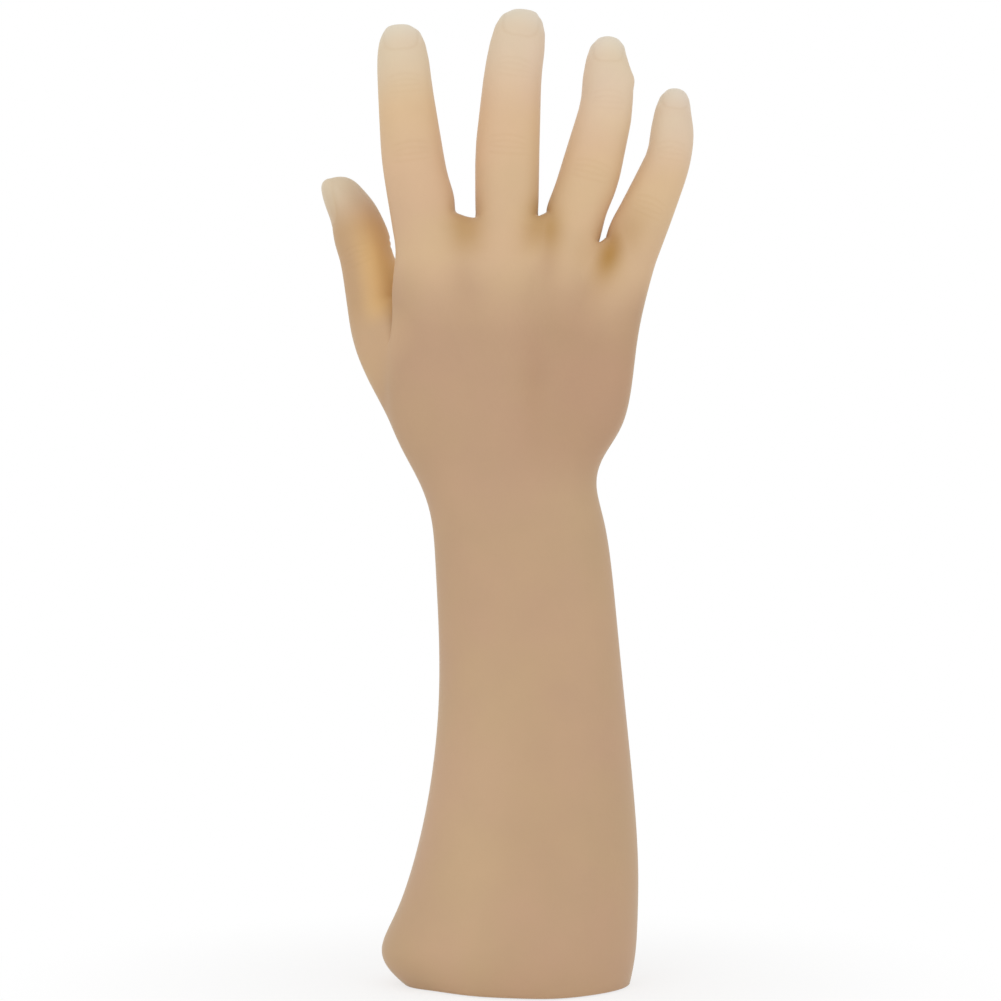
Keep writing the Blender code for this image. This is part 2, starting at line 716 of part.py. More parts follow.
# Palm plate: a carpal block, the rod's boss and a bar for each digit, moulded in one piece
palm_plate = upright("palm_plate", BOSS_DIAMETER, BOSS_FOOT, CARPAL_HEIGHT, NYLON)
boss_room = upright("boss_room", BOSS_DIAMETER + 2 * FIT_GAP, BOSS_FOOT - FIT_GAP, CARPAL_HEIGHT)
combine(palm_plate, carpal_block("carpal_block", 0.0), "UNION")
for name in DIGITS:
    combine(palm_plate, loft(name + "_bar", bar_stations(name)), "UNION")
combine(palm_plate, rod_room, "DIFFERENCE")

# Silicone, links and pins of each digit
arm_skin = silicone("arm_skin")
base_trim = box("base_trim", (4 * CUTTER_REACH, 4 * CUTTER_REACH, CUTTER_REACH),
                Matrix.Translation((0, 0, -CUTTER_REACH / 2)))
thumb_room = thumb_region("thumb_room", -SEAM_GAP / 2)
combine(arm_skin, base_trim, "DIFFERENCE")
combine(arm_skin, all_fingers_region(SEAM_GAP / 2), "DIFFERENCE")
combine(arm_skin, thumb_room, "DIFFERENCE")
combine(arm_skin, oval_post("core_room", FIT_GAP, -RECESS_DEPTH), "DIFFERENCE")
combine(arm_skin, rod_room, "DIFFERENCE")
combine(arm_skin, nut_room, "DIFFERENCE")
combine(arm_skin, boss_room, "DIFFERENCE")
combine(arm_skin, carpal_block("carpal_room", FIT_GAP), "DIFFERENCE")

for name, bones in BONES.items():
    room = cavity(name)
    combine(arm_skin, room, "DIFFERENCE")
    skin = silicone(name + "_skin")
    if name == "thumb":
        combine(skin, thumb_region("thumb_region", SEAM_GAP / 2), "INTERSECT")
    else:
        combine(skin, finger_region(FINGERS.index(name), SEAM_GAP / 2), "INTERSECT")
    if name == "index":
        combine(skin, thumb_room, "DIFFERENCE")
    combine(skin, room, "DIFFERENCE")
    below = palm_plate
    hinge = None
    for number, link_name in enumerate(LINK_NAMES[len(bones) - 1], start=1):
        cutters, pin = hinge_cutters(name, number)
        link = loft(f"{name}_{link_name}_link", link_stations(name, number), NYLON)
        combine(below, cutters.slot, "DIFFERENCE")
        combine(below, cutters.hole, "DIFFERENCE")
        combine(link, cutters.sides, "DIFFERENCE")
        combine(link, cutters.hole, "DIFFERENCE")
        if hinge:
            hold(pin, hinge)
        hinge = place_hinge(name, number, hinge)
        hold(link, hinge)
        if number == 1:
            hold(skin, hinge)
        shade(link)
        below = link
shade(palm_plate)
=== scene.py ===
# %% [markdown]
# # A silicone practice hand
#
# The object is a right hand and forearm cast in flesh-coloured silicone, for learners of tattooing.
# It stands on the cut end of the forearm and shows its back. A jointed plastic skeleton inside lets
# the fingers and the thumb be bent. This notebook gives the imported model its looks: one smooth skin
# with nails, knuckles and creases, its silicone, and a plain studio.
#
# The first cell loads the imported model. Its empties are the bodies that move, and every piece made
# here has to ride on one of them or bend between two.

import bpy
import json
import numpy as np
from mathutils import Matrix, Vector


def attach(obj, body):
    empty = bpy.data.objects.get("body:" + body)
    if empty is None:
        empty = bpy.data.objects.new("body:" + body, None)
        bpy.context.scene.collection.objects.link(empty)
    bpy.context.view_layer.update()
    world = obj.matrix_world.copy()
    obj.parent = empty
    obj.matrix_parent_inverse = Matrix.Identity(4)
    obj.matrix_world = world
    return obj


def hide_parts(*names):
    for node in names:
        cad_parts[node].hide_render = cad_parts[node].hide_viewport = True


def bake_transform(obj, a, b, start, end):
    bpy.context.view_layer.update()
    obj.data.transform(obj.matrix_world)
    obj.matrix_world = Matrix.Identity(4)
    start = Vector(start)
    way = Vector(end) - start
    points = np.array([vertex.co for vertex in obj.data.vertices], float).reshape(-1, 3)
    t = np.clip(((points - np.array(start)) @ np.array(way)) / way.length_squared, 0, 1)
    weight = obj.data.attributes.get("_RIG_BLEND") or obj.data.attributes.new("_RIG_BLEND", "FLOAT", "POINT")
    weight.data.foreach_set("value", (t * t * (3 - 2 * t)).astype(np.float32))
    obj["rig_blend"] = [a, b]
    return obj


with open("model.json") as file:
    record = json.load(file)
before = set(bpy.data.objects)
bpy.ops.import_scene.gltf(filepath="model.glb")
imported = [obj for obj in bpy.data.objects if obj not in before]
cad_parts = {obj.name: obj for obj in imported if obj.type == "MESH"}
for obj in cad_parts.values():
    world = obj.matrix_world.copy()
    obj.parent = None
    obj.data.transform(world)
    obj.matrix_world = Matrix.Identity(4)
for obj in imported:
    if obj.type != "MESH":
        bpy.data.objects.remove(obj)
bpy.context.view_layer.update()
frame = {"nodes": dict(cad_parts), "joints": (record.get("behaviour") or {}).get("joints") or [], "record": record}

import json
from dataclasses import dataclass
from math import cos, exp, pi, radians, sin, sqrt

import bmesh
import bpy
import numpy as np
from mathutils import Matrix, Vector
from mathutils.kdtree import KDTree

MM = 0.001

# %% [markdown]
# ## The digits
#
# A hand is easiest to describe by its bones. Each digit starts at a knuckle and is a chain of
# straight bones, each with a length, a lean towards the little finger and a curl towards the palm.
# The skin round them has a half width and a half depth at the web, at each hinge and at the pad.
# These are the sizes that the skeleton was built to, so skin and links stay together.

# %% Sizes of the digits, in millimetres and degrees
@dataclass
class Digit:
    carpal: tuple       # foot of its palm bone
    knuckle: tuple      # first hinge
    bones: tuple        # lengths, the last one out to the skin of the tip
    leans: tuple
    curls: tuple
    root: float         # from the knuckle up to the web
    half_widths: tuple  # at the root, each hinge and the pad
    half_depths: tuple
    roll: float = 0.0   # turns the hinges about the digit's own line


DIGITS = {
    "index": Digit((-12, 0, 190), (-27.6, 0, 256.5), (41.2, 24.9, 25.7), (-9.5, -6.3, -4.9), (3, 8, 13),
                   15.8, (11.3, 11.3, 9.9, 8.9), (10.0, 9.6, 8.4, 7.6)),
    "middle": Digit((-2, 0, 192), (-0.5, 0, 255.0), (44.6, 28.2, 25.3), (0.4, 4.0, 9.2), (3, 7, 12),
                    21.5, (11.2, 11.6, 10.4, 9.5), (10.2, 9.8, 8.8, 7.9)),
    "ring": Digit((8, 0, 190), (17.4, 0, 251.0), (41.2, 26.7, 27.0), (17.0, 14.4, 1.6), (4, 9, 14),
                  20.0, (10.4, 10.9, 9.6, 8.2), (9.6, 9.2, 8.0, 7.2)),
    "little": Digit((17, 0, 187), (36.9, 0, 243.5), (36.4, 22.4, 26.8), (21.2, 23.2, 6.6), (5, 10, 15),
                    18.0, (9.8, 9.6, 8.2, 7.3), (8.6, 8.2, 7.1, 6.3)),
    "thumb": Digit((-17, 3, 187), (-45.4, 17.0, 233.0), (31.2, 29.8), (-10.6, -22.5), (6, 1),
                   4.0, (11.2, 10.1, 9.3), (12.8, 11.0, 9.8), roll=28.0),
}
FINGERS = ("index", "middle", "ring", "little")
HINGES = {name: ("knuckle", "middle", "end") for name in FINGERS} | {"thumb": ("knuckle", "end")}
print("digits:", len(DIGITS))


# %% Bones, each with its hinge line and the side it flexes to
@dataclass
class Bone:
    start: Vector
    direction: Vector
    hinge: Vector
    palm: Vector
    length: float

    def at(self, share):
        return self.start + self.direction * self.length * share


def bone_between(start, direction, length, roll):
    level = Vector((direction.z, 0.0, -direction.x)).normalized()
    palmward = direction.cross(level)
    hinge = level * cos(roll) - palmward * sin(roll)
    return Bone(start, direction, hinge, direction.cross(hinge), length)


def bones_of(digit):
    """The palm bone first, then one bone for each link."""
    roll = radians(digit.roll)
    carpal = Vector(digit.carpal) * MM
    start = Vector(digit.knuckle) * MM
    run = start - carpal
    bones = [bone_between(carpal, run.normalized(), run.length, roll)]
    for length, lean, curl in zip(digit.bones, digit.leans, digit.curls):
        lean, curl = radians(lean), radians(curl)
        direction = Vector((sin(lean) * cos(curl), sin(curl), cos(lean) * cos(curl)))
        bones.append(bone_between(start, direction, length * MM, roll))
        start = bones[-1].at(1.0)
    return bones


HINGE_TOLERANCE_MM = 0.2
BONES = {name: bones_of(digit) for name, digit in DIGITS.items()}
hinge_places = {joint["name"]: Vector(joint["pos_m"]) for joint in frame["joints"]}
for name, labels in HINGES.items():
    for label, bone in zip(labels, BONES[name][1:]):
        miss = (hinge_places[f"{name}_{label}_hinge"] - bone.start).length / MM
        if miss > HINGE_TOLERANCE_MM:
            print("the skeleton's", name, label, "hinge is", round(miss, 2), "mm away")
print("bones:", sum(len(bones) for bones in BONES.values()))

# %% [markdown]
# ## The skin as a cage
#
# On the real hand the skin is one casting with no seam, so it is modelled as one coarse cage of
# four-sided faces that a subdivision surface rounds. The forearm and palm are a ring of twenty-six
# points that is extruded upwards. Towards the top the points gather into three columns for each
# finger. Blocks of three by three points are then extruded along the bones to make the fingers, and
# one more block grows sideways out of the palm for the thumb. A scan or a sculpt would give more
# detail, but not loops that run round each finger, and those loops bend well later.

# %% Sections of the forearm and palm: height, thumb edge, little-finger edge, back, palm side
SECTIONS_MM = (
    (-5.0, -31.0, 43.0, -33.0, 33.0),
    (2.5, -41.6, 45.0, -34.8, 35.0),
    (11.5, -48.2, 46.7, -36.8, 36.8),
    (24.0, -40.5, 47.2, -35.2, 35.6),
    (42.0, -34.3, 47.6, -32.5, 33.8),
    (66.0, -28.6, 46.0, -29.5, 31.0),
    (96.0, -24.9, 42.9, -26.0, 28.0),
    (124.0, -24.9, 40.1, -22.8, 24.8),
    (148.0, -26.3, 37.9, -20.5, 22.0),
    (166.0, -27.1, 35.4, -19.0, 19.8),
    (178.5, -31.2, 31.2, -18.2, 18.6),
    (189.0, -37.4, 33.6, -17.6, 19.2),
    (201.0, -43.5, 42.4, -17.0, 19.8),
    (218.0, -44.4, 45.2, -16.4, 18.8),
    (236.0, -43.4, 46.6, -15.5, 16.2),
    (253.0, -41.8, 48.7, -14.5, 14.0),
)
PALM_SWELLS_MM = (              # x, height, reach across, reach up, thickness
    (-29.0, 206.0, 16.0, 21.0, 13.0),   # ball of the thumb
    (27.0, 204.0, 15.0, 26.0, 6.0),     # heel under the little finger
    (1.0, 222.0, 14.0, 24.0, -4.5),     # hollow of the palm
)
COLUMN_START = 138.0 * MM       # above this the points gather into columns
ROOT_DROP = 17.0 * MM           # from the webs down to the last section
RING_ROUNDNESS, PALM_SQUARENESS = 2.1, 2.7
COLUMN_SIDE, EDGE_SHARE = 0.86, 0.975
SMOOTHING_SHRINK = 0.902        # what the subdivision leaves of a block's width
THUMB_ROOT_DROP, THUMB_ROOT_REACH = 19.0 * MM, 22.0 * MM
THUMB_ROOT_SHARES = (-0.88, -0.46, -0.30, -0.16)
THUMB_BASE_SHARE = 0.84
THUMB_BASE_HALF = (12.6 * MM, 15.0 * MM)
STATION_SHARES = {              # where the sections lie along each bone, for three bones and for two
    3: ((0.62, 0.90), (0.12, 0.50, 0.88), (0.14, 0.42)),
    2: ((0.04, 0.34, 0.64, 0.92), (0.14, 0.42)),
}
TIP_STATIONS = ((0.68, 0.97), (0.86, 0.79), (0.965, 0.46))     # share of the bone and of the pad
WEB_CREASE = 0.4
WEB_LIFTS_MM = {                # on each finger's thumb side and on its other side
    "index": (0.0, 3.0), "middle": (-2.2, -1.2), "ring": (4.2, -1.6), "little": (4.6, 0.0),
}
COLUMNS = 3 * len(FINGERS)
RING = 2 * COLUMNS + 2
print("sections:", len(SECTIONS_MM), "points in each:", RING)


# %% Where the points of one section lie
def mix(low, high, share):
    return low + (high - low) * share


ROOTS = {name: BONES[name][1].start + BONES[name][1].direction * DIGITS[name].root * MM
         for name in FINGERS}
THUMB_ROOT_HEIGHT = BONES["thumb"][1].start.z - THUMB_ROOT_DROP


def root_height(x):
    roots = list(ROOTS.values())
    for left, right in zip(roots, roots[1:]):
        if x <= right.x or right is roots[-1]:
            return mix(left.z, right.z, (x - left.x) / (right.x - left.x))


def palm_swell(x, z):
    return sum(amount * MM * exp(-((x / MM - at_x) / across) ** 2 - ((z / MM - at_z) / up) ** 2)
               for at_x, at_z, across, up, amount in PALM_SWELLS_MM)


def column_shares():
    _, left, right, _, _ = SECTIONS_MM[-1]
    middle, half = (left + right) / 2 * MM, (right - left) / 2 * MM
    shares = []
    for name, root in ROOTS.items():
        side = COLUMN_SIDE * DIGITS[name].half_widths[0] * MM
        shares += [(x - middle) / half for x in (root.x - side, root.x, root.x + side)]
    return [max(-EDGE_SHARE, min(EDGE_SHARE, share)) for share in shares]


def ring_points(section):
    height, left, right, back, front = (value * MM for value in section)
    top = SECTIONS_MM[-1][0] * MM
    gather = max(0.0, (height - COLUMN_START) / (top - COLUMN_START))
    middle, half = (left + right) / 2, (right - left) / 2
    power = mix(RING_ROUNDNESS, PALM_SQUARENESS, gather)

    def lift(x):
        return height + (root_height(x) - ROOT_DROP - top) * gather ** 3

    def point(share, depth):
        x = middle + half * share
        z = lift(x)
        y = depth * max(0.0, 1 - abs(share) ** power) ** (1 / power)
        if depth > 0:
            y += palm_swell(x, z) * (1 - share ** 4)
        return Vector((x, y, z))

    even = [-cos(pi * (step + 1) / (COLUMNS + 1)) for step in range(COLUMNS)]
    shares = [mix(place, column, gather) for place, column in zip(even, column_shares())]
    pull = exp(-((height - THUMB_ROOT_HEIGHT) / THUMB_ROOT_REACH) ** 2)
    palm_shares = [mix(share, wide, pull) for share, wide in zip(shares, THUMB_ROOT_SHARES)]
    palm_shares += shares[len(THUMB_ROOT_SHARES):]
    points = [Vector((left, 0, lift(left)))]
    points += [point(share, back) for share in shares]
    points.append(Vector((right, 0, lift(right))))
    points += [point(share, front) for share in reversed(palm_shares)]
    return points


print("thumb grows out at", round(THUMB_ROOT_HEIGHT / MM, 1), "mm")

# %% Extrusions that keep their points in order
def of_type(items, kind):
    return [item for item in items if isinstance(item, kind)]


def twins(old_points, made):
    """The new points of an extrusion, each the one that still lies on its old one."""
    new_points = of_type(made, bmesh.types.BMVert)
    return [min(new_points, key=lambda new: (new.co - old.co).length_squared) for old in old_points]


def quads(rows):
    """The corners of each face between rows of points."""
    for upper, lower in zip(rows, rows[1:]):
        yield from zip(upper, upper[1:], lower[1:], lower)


def extrude_block(bm, rows):
    """Extrudes the faces between rows of points and returns the same rows on the new ones."""
    faces = [face for corners in quads(rows) for face in corners[0].link_faces
             if set(face.verts) == set(corners)]
    made = bmesh.ops.extrude_face_region(bm, geom=faces)["geom"]
    new_rows = [twins(row, made) for row in rows]
    bmesh.ops.delete(bm, geom=faces, context="FACES")
    return new_rows


def close_ring(bm, ring):
    """Fills a ring with quads and returns its three rows of points."""
    back, front = ring[1:COLUMNS + 1], ring[:COLUMNS + 1:-1]
    inner = [bm.verts.new((a.co + b.co) / 2) for a, b in zip(back[1:-1], front[1:-1])]
    rows = [back, [ring[0], *inner, ring[COLUMNS + 1]], front]
    for corners in quads(rows):
        bm.faces.new(corners)
    return rows


# %% Grow the forearm and palm, ring by ring
COLUMN_OF = [0, *range(COLUMNS), COLUMNS - 1, *reversed(range(COLUMNS))]


def mark(vertex, at_level, at_column):
    vertex[level], vertex[column] = at_level, at_column


cage_bm = bmesh.new()
level = cage_bm.verts.layers.int.new("level")
column = cage_bm.verts.layers.int.new("column")
edge_crease = cage_bm.edges.layers.float.new("crease_edge")
ring = bmesh.ops.create_circle(cage_bm, segments=RING, radius=MM)["verts"]
rings = []
for number, section in enumerate(SECTIONS_MM):
    if number:
        edges = [cage_bm.edges.get((ring[i], ring[i - 1])) for i in range(RING)]
        ring = twins(ring, bmesh.ops.extrude_edge_only(cage_bm, edges=edges)["geom"])
    for vertex, place, at_column in zip(ring, ring_points(section), COLUMN_OF):
        vertex.co = place
        mark(vertex, number, at_column)
    rings.append(ring)
close_ring(cage_bm, rings[0])
rows = extrude_block(cage_bm, close_ring(cage_bm, rings[-1]))
for row in rows:
    for at_column, vertex in enumerate(row):
        mark(vertex, len(SECTIONS_MM), at_column)
print("faces so far:", len(cage_bm.faces))


# %% Where the sections of a digit lie
def place_block(block, centre, bone, half_width, half_depth):
    """Moves a three by three block of points onto a round section."""
    for row, down in zip(block, (-1, 0, 1)):
        for vertex, over in zip(row, (-1, 0, 1)):
            corner = sqrt(0.5) if down and over else 1.0
            offset = bone.hinge * over * half_width + bone.palm * down * half_depth
            vertex.co = centre + offset * corner / SMOOTHING_SHRINK


def digit_stations(name):
    """Sections above the root: centre, bone, half width, half depth."""
    digit, (palm_bone, *bones) = DIGITS[name], BONES[name]
    stations = []
    if name == "thumb":
        stations.append((palm_bone.at(THUMB_BASE_SHARE), palm_bone, *THUMB_BASE_HALF))
    for number, (bone, places) in enumerate(zip(bones, STATION_SHARES[len(bones)])):
        for place in places:
            width = mix(*digit.half_widths[number:number + 2], place)
            depth = mix(*digit.half_depths[number:number + 2], place)
            stations.append((bone.at(place), bone, width * MM, depth * MM))
    for place, size in TIP_STATIONS:
        stations.append((bones[-1].at(place), bones[-1], digit.half_widths[-1] * size * MM,
                         digit.half_depths[-1] * size * MM))
    return stations


print("sections of a finger:", len(digit_stations("index")), "and of the thumb:",
      len(digit_stations("thumb")))

# %% [markdown]
# The cage also says which part of the hand each face is on. The zone is kept as the face's material
# number, because a subdivision surface hands that down to all the small faces it makes, and it costs
# nothing. The strips of faces between two fingers get zones of their own, and are shared out later.
# The corners where the fingers' sides meet these strips are creased, or they would round away.

# %% Grow the digits
DIGIT_ZONE = {"index": 2, "middle": 3, "ring": 4, "little": 5, "thumb": 6}
OFF_PALM = 100                 # a digit's points get 100 times its zone as their column
THUMB_SIDE = (0, RING - 1, RING - 2)    # points of a ring that the thumb grows from

for upper, lower in zip(rows, rows[1:]):
    for right_side in range(2, COLUMNS - 1, 3):
        for place in (right_side, right_side + 1):
            cage_bm.edges.get((upper[place], lower[place]))[edge_crease] = WEB_CREASE
blocks = {}
for number, name in enumerate(FINGERS):
    digit, bone = DIGITS[name], BONES[name][1]
    block = blocks[name] = [row[3 * number:3 * number + 3] for row in rows]
    place_block(block, ROOTS[name], bone, digit.half_widths[0] * MM, digit.half_depths[0] * MM)
    for row in block:
        for side, lift in zip((row[0], row[-1]), WEB_LIFTS_MM[name]):
            side.co += bone.direction * lift * MM
heights = [abs(section[0] * MM - THUMB_ROOT_HEIGHT) for section in SECTIONS_MM]
middle = heights.index(min(heights))
blocks["thumb"] = [[ring[i] for ring in rings[middle - 1:middle + 2]] for i in THUMB_SIDE]
for name, block in blocks.items():
    for number, (centre, bone, half_width, half_depth) in enumerate(digit_stations(name)):
        block = extrude_block(cage_bm, block)
        place_block(block, centre, bone, half_width, half_depth)
        for vertex in sum(block, []):
            mark(vertex, len(SECTIONS_MM) + 1 + number, OFF_PALM * DIGIT_ZONE[name])
print("cage faces:", len(cage_bm.faces))

# %% Mark the zones
FOREARM, PALM = 0, 1
WEB_ZONE = 7                   # then 8 and 9 for the other two webs
ZONES = WEB_ZONE + 3
WRIST_BAND = 10                # bands below this one are forearm
KNUCKLE_BAND = 14              # the fingers' own skin starts with this band


def zone_of(columns, levels):
    """The zone of a face from the columns and levels of its corners."""
    digit, left, right = max(columns) // OFF_PALM, min(columns) // 3, max(columns) // 3
    if digit == DIGIT_ZONE["thumb"] and min(columns) < OFF_PALM:
        return PALM
    if digit:
        return digit
    if min(levels) >= KNUCKLE_BAND:
        return DIGIT_ZONE[FINGERS[left]] if left == right else WEB_ZONE + left
    return PALM if min(levels) >= WRIST_BAND else FOREARM


def new_mesh(name, bm):
    mesh = bpy.data.meshes.new(name)
    bm.to_mesh(mesh)
    bm.free()
    return mesh


for face in cage_bm.faces:
    columns = [vertex[column] for vertex in face.verts]
    levels = [vertex[level] for vertex in face.verts]
    face.material_index = zone_of(columns, levels)
    face.smooth = True
bmesh.ops.recalc_face_normals(cage_bm, faces=cage_bm.faces[:])
cage_mesh = new_mesh("hand_cage", cage_bm)
for _ in range(ZONES):
    cage_mesh.materials.append(None)
print("forearm faces:", sum(face.material_index == FOREARM for face in cage_mesh.polygons))

# %% [markdown]
# ## Rounding the cage
#
# Four levels of subdivision leave faces of about half a millimetre, fine enough for nail folds and
# skin creases. The modifier is applied here and not left live, because the relief is pushed into its
# small faces.

# %% Apply the subdivision surface
SKIN_LEVELS = 4


def new_object(name, data):
    made = bpy.data.objects.new(name, data)
    bpy.context.scene.collection.objects.link(made)
    return made


cage = new_object("hand_cage", cage_mesh)
rounding = cage.modifiers.new("rounding", "SUBSURF")
rounding.levels = rounding.render_levels = SKIN_LEVELS
bpy.context.view_layer.update()
skin = bpy.data.meshes.new_from_object(cage.evaluated_get(bpy.context.evaluated_depsgraph_get()))
bpy.data.objects.remove(cage)
print("skin faces:", len(skin.polygons))


# %% Read the skin as tables of points, normals and zones
def read(collection, key, width=1, kind=np.float32):
    """One property of everything in a collection, as a table."""
    values = np.empty(len(collection) * width, kind)
    collection.foreach_get(key, values)
    return values.reshape(-1, width) if width > 1 else values


def read_normals(mesh):
    return read(mesh.vertex_normals, "vector", 3).astype(float)


points = read(skin.vertices, "co", 3).astype(float) / MM
normals = read_normals(skin)
face_zone = read(skin.polygons, "material_index", kind=np.int32)
face_corners = read(skin.loops, "vertex_index", kind=np.int32).reshape(-1, 4)
print("points:", len(points), "zones:", np.bincount(face_zone).tolist())

# %% [markdown]
# Relief and colour are easiest to place in the frame of a bone: across the finger, towards the palm,
# and along the bone from its hinge.

# %% Millimetres in the frame of a bone
def in_bone(bone, places):
    """Across, palmward and along, for each point."""
    offset = places - np.array(bone.start) / MM
    axes = np.array((bone.hinge, bone.palm, bone.direction))
    return (offset @ axes.T).T


def soft_step(values, low, high):
    share = np.clip((values - low) / (high - low), 0, 1)
    return share * share * (3 - 2 * share)


def band(values, low, full, late, high):
    """Rises from low to full and falls again from late to high."""
    return soft_step(values, low, full) * (1 - soft_step(values, late, high))


def bell(values, reach):
    return np.exp(-(values / reach) ** 2)


print("first point in the index finger's frame:", in_bone(BONES["index"][1], points[0]).round(1))

# %% Share the strips between two fingers out to the nearer one
centres = points[face_corners].mean(axis=1)
for number, (left, right) in enumerate(zip(FINGERS, FINGERS[1:])):
    strip = face_zone == WEB_ZONE + number
    to_left = np.abs(in_bone(BONES[left][1], centres[strip])[0])
    to_right = np.abs(in_bone(BONES[right][1], centres[strip])[0])
    face_zone[strip] = np.where(to_left < to_right, DIGIT_ZONE[left], DIGIT_ZONE[right])
vertex_zone = np.zeros(len(points), np.int32)
vertex_zone[face_corners.ravel()] = np.repeat(face_zone, 4)
lowest = np.full(len(points), ZONES)
highest = np.full(len(points), -1)
np.minimum.at(lowest, face_corners.ravel(), np.repeat(face_zone, 4))
np.maximum.at(highest, face_corners.ravel(), np.repeat(face_zone, 4))
on_web_line = ((lowest != highest) & (lowest >= DIGIT_ZONE["index"])
               & (highest <= DIGIT_ZONE["little"]))


def own_places(name, number):
    """Which points a digit owns, and where they are in the frame of one of its bones."""
    own = vertex_zone == DIGIT_ZONE[name]
    return own, in_bone(BONES[name][number], points[own])


print("points on the web lines:", int(on_web_line.sum()))

# %% Distance of every point from the nearest web line
WEBS_ABOVE_MM = 225.0           # a lower point is too far from a web to matter
FAR_MM = 99.0
web_tree = KDTree(int(on_web_line.sum()))
for number, place in enumerate(points[on_web_line]):
    web_tree.insert(place, number)
web_tree.balance()
near_webs = points[:, 2] > WEBS_ABOVE_MM
from_web = np.full(len(points), FAR_MM)
for index in np.nonzero(near_webs)[0]:
    from_web[index] = web_tree.find(points[index])[2]
print("nearest and furthest:", round(from_web.min(), 2), round(from_web[near_webs].max(), 1))

# %% [markdown]
# ## Relief
#
# The casting was taken from a real hand, so it has what a hand has, softened by the silicone: low
# mounds over the knuckles with shallow valleys between them, tendons that fan out from the wrist,
# nails set into a fold, short wrinkles behind the finger joints, and the creases of the palm. Each
# one only moves points along the skin's normal, by a millimetre at most. A normal map would be
# lighter, but it vanishes at the outline, and the nails show there.

# %% Knuckles, valleys and tendons on the back of the hand
FACING = (0.15, 0.7)                # how far a normal turns back before the relief sets in
KNUCKLE_MM = (1.1, 7.5, 8.5)        # height, reach across, reach along
KNUCKLE_AT_MM = -1.0                # its top along the bone, from the hinge
WRIST_MIDDLE_MM = np.array((1.0, 186.0))
TENDON_MM = (0.45, 2.6)             # height, reach across
TENDON_FADES = (0.03, 0.2, 0.45, 0.9)       # shares of the way from the knuckle to the wrist
VALLEY_MM = (0.9, 4.5, 12.0)        # depth, reach across, reach up
VALLEY_ABOVE_MM = 5.0               # its middle over the knuckles
POCKET_MM = (35.9, 261.2, 3.8, 7.5)         # hollow below the last web, as in spot()
POCKET_DEPTH_MM, POCKET_LEAN = 0.9, 0.25

push = np.zeros(len(points))
dent = np.zeros(len(points))
x, z = points[:, 0], points[:, 2]
behind = soft_step(-normals[:, 1], *FACING)


def spot(at_x, at_z, across, up, lean=0.0):
    """A soft oval on the back of the hand, whose middle line may lean."""
    return bell(x - at_x - lean * (z - at_z), across) * bell(z - at_z, up) * behind


for name in FINGERS:
    first = BONES[name][1]
    across, _, along = in_bone(first, points)
    height, wide, far = KNUCKLE_MM
    push += height * bell(across, wide) * bell(along - KNUCKLE_AT_MM, far) * behind
    knuckle = np.array((first.start.x, first.start.z)) / MM
    run = WRIST_MIDDLE_MM - knuckle
    share = np.clip(((np.stack((x, z), 1) - knuckle) @ run) / (run @ run), 0, 1)
    nearest = knuckle + share[:, None] * run
    aside = np.hypot(x - nearest[:, 0], z - nearest[:, 1])
    push += TENDON_MM[0] * bell(aside, TENDON_MM[1]) * band(share, *TENDON_FADES) * behind
for left, right in zip(FINGERS, FINGERS[1:]):
    middle = (BONES[left][1].start + BONES[right][1].start) / 2 / MM
    push -= VALLEY_MM[0] * spot(middle.x, middle.z + VALLEY_ABOVE_MM, *VALLEY_MM[1:])
push -= POCKET_DEPTH_MM * spot(*POCKET_MM, POCKET_LEAN)
print("knuckles and tendons: from", round(push.min(), 2), "to", round(push.max(), 2), "mm")


# %% Wrinkles and creases of the digits
WRINKLE = (0.12, 0.72, 0.55, 0.9)   # depth, length as a share of the digit's width, reach, bow
WRINKLES_AT_MM = (-3.4, -1.1, 1.2, 3.5)     # along the bone, from the hinge
SHALLOWER = 0.75                    # at the end joints and on the thumb
FOLD = (0.55, 1.1, 0.7, 0.6)
FOLDS_AT_MM = (-1.0, 1.3)
ROOT_FOLD, THUMB_FOLD = (0.6, 1.2, 0.8, 0.8), (0.5, 1.2, 0.8, 0.6)
ROOT_FOLD_ABOVE_MM = 1.5            # the web
JOINT_MM = (0.25, 6.0)              # height and reach of the swelling behind a finger joint


def crease(across, along, width, place, depth, length, reach, bow):
    """A groove across a digit; bow bends its ends up the digit."""
    half = length * width
    line = along - place - bow * (across / half) ** 2
    return depth * bell(line, reach) * (1 - soft_step(np.abs(across), 0.6 * half, half))


for name, digit in DIGITS.items():
    for number, width in enumerate(digit.half_widths[:-1]):
        own, (across, palmward, along) = own_places(name, number + 1)
        back_side = soft_step(-palmward, 1.5, 5.0)
        palm_side = soft_step(palmward, 1.0, 4.5)
        groove = np.zeros(len(across))
        if number:
            depth, length, reach, bow = WRINKLE
            depth *= 1.0 if number == 1 and name != "thumb" else SHALLOWER
            for place in WRINKLES_AT_MM:
                bend = bow if place < 0 else -bow
                groove += back_side * crease(across, along, width, place, depth, length, reach, bend)
            for place in FOLDS_AT_MM[:2 if number == 1 else 1]:
                groove += palm_side * crease(across, along, width, place, *FOLD)
            push[own] += JOINT_MM[0] * back_side * bell(along, JOINT_MM[1]) * bell(across, JOINT_MM[1])
        elif name == "thumb":
            groove += palm_side * crease(across, along, width, 0.0, *THUMB_FOLD)
        else:
            place = digit.root + ROOT_FOLD_ABOVE_MM
            groove += palm_side * crease(across, along, width, place, *ROOT_FOLD)
        push[own] -= groove
        dent[own] = np.maximum(dent[own], groove)
print("deepest crease:", round(dent.max(), 2), "mm")

# %% [markdown]
# The nails are part of the casting. A nail is a thin plate, set into a fold on three sides, with its
# free edge level with the fingertip. Its outline is a rounded rectangle in the bone's frame. Inside
# it the skin stands out a little, along it runs a narrow groove, and outside that a low lip.

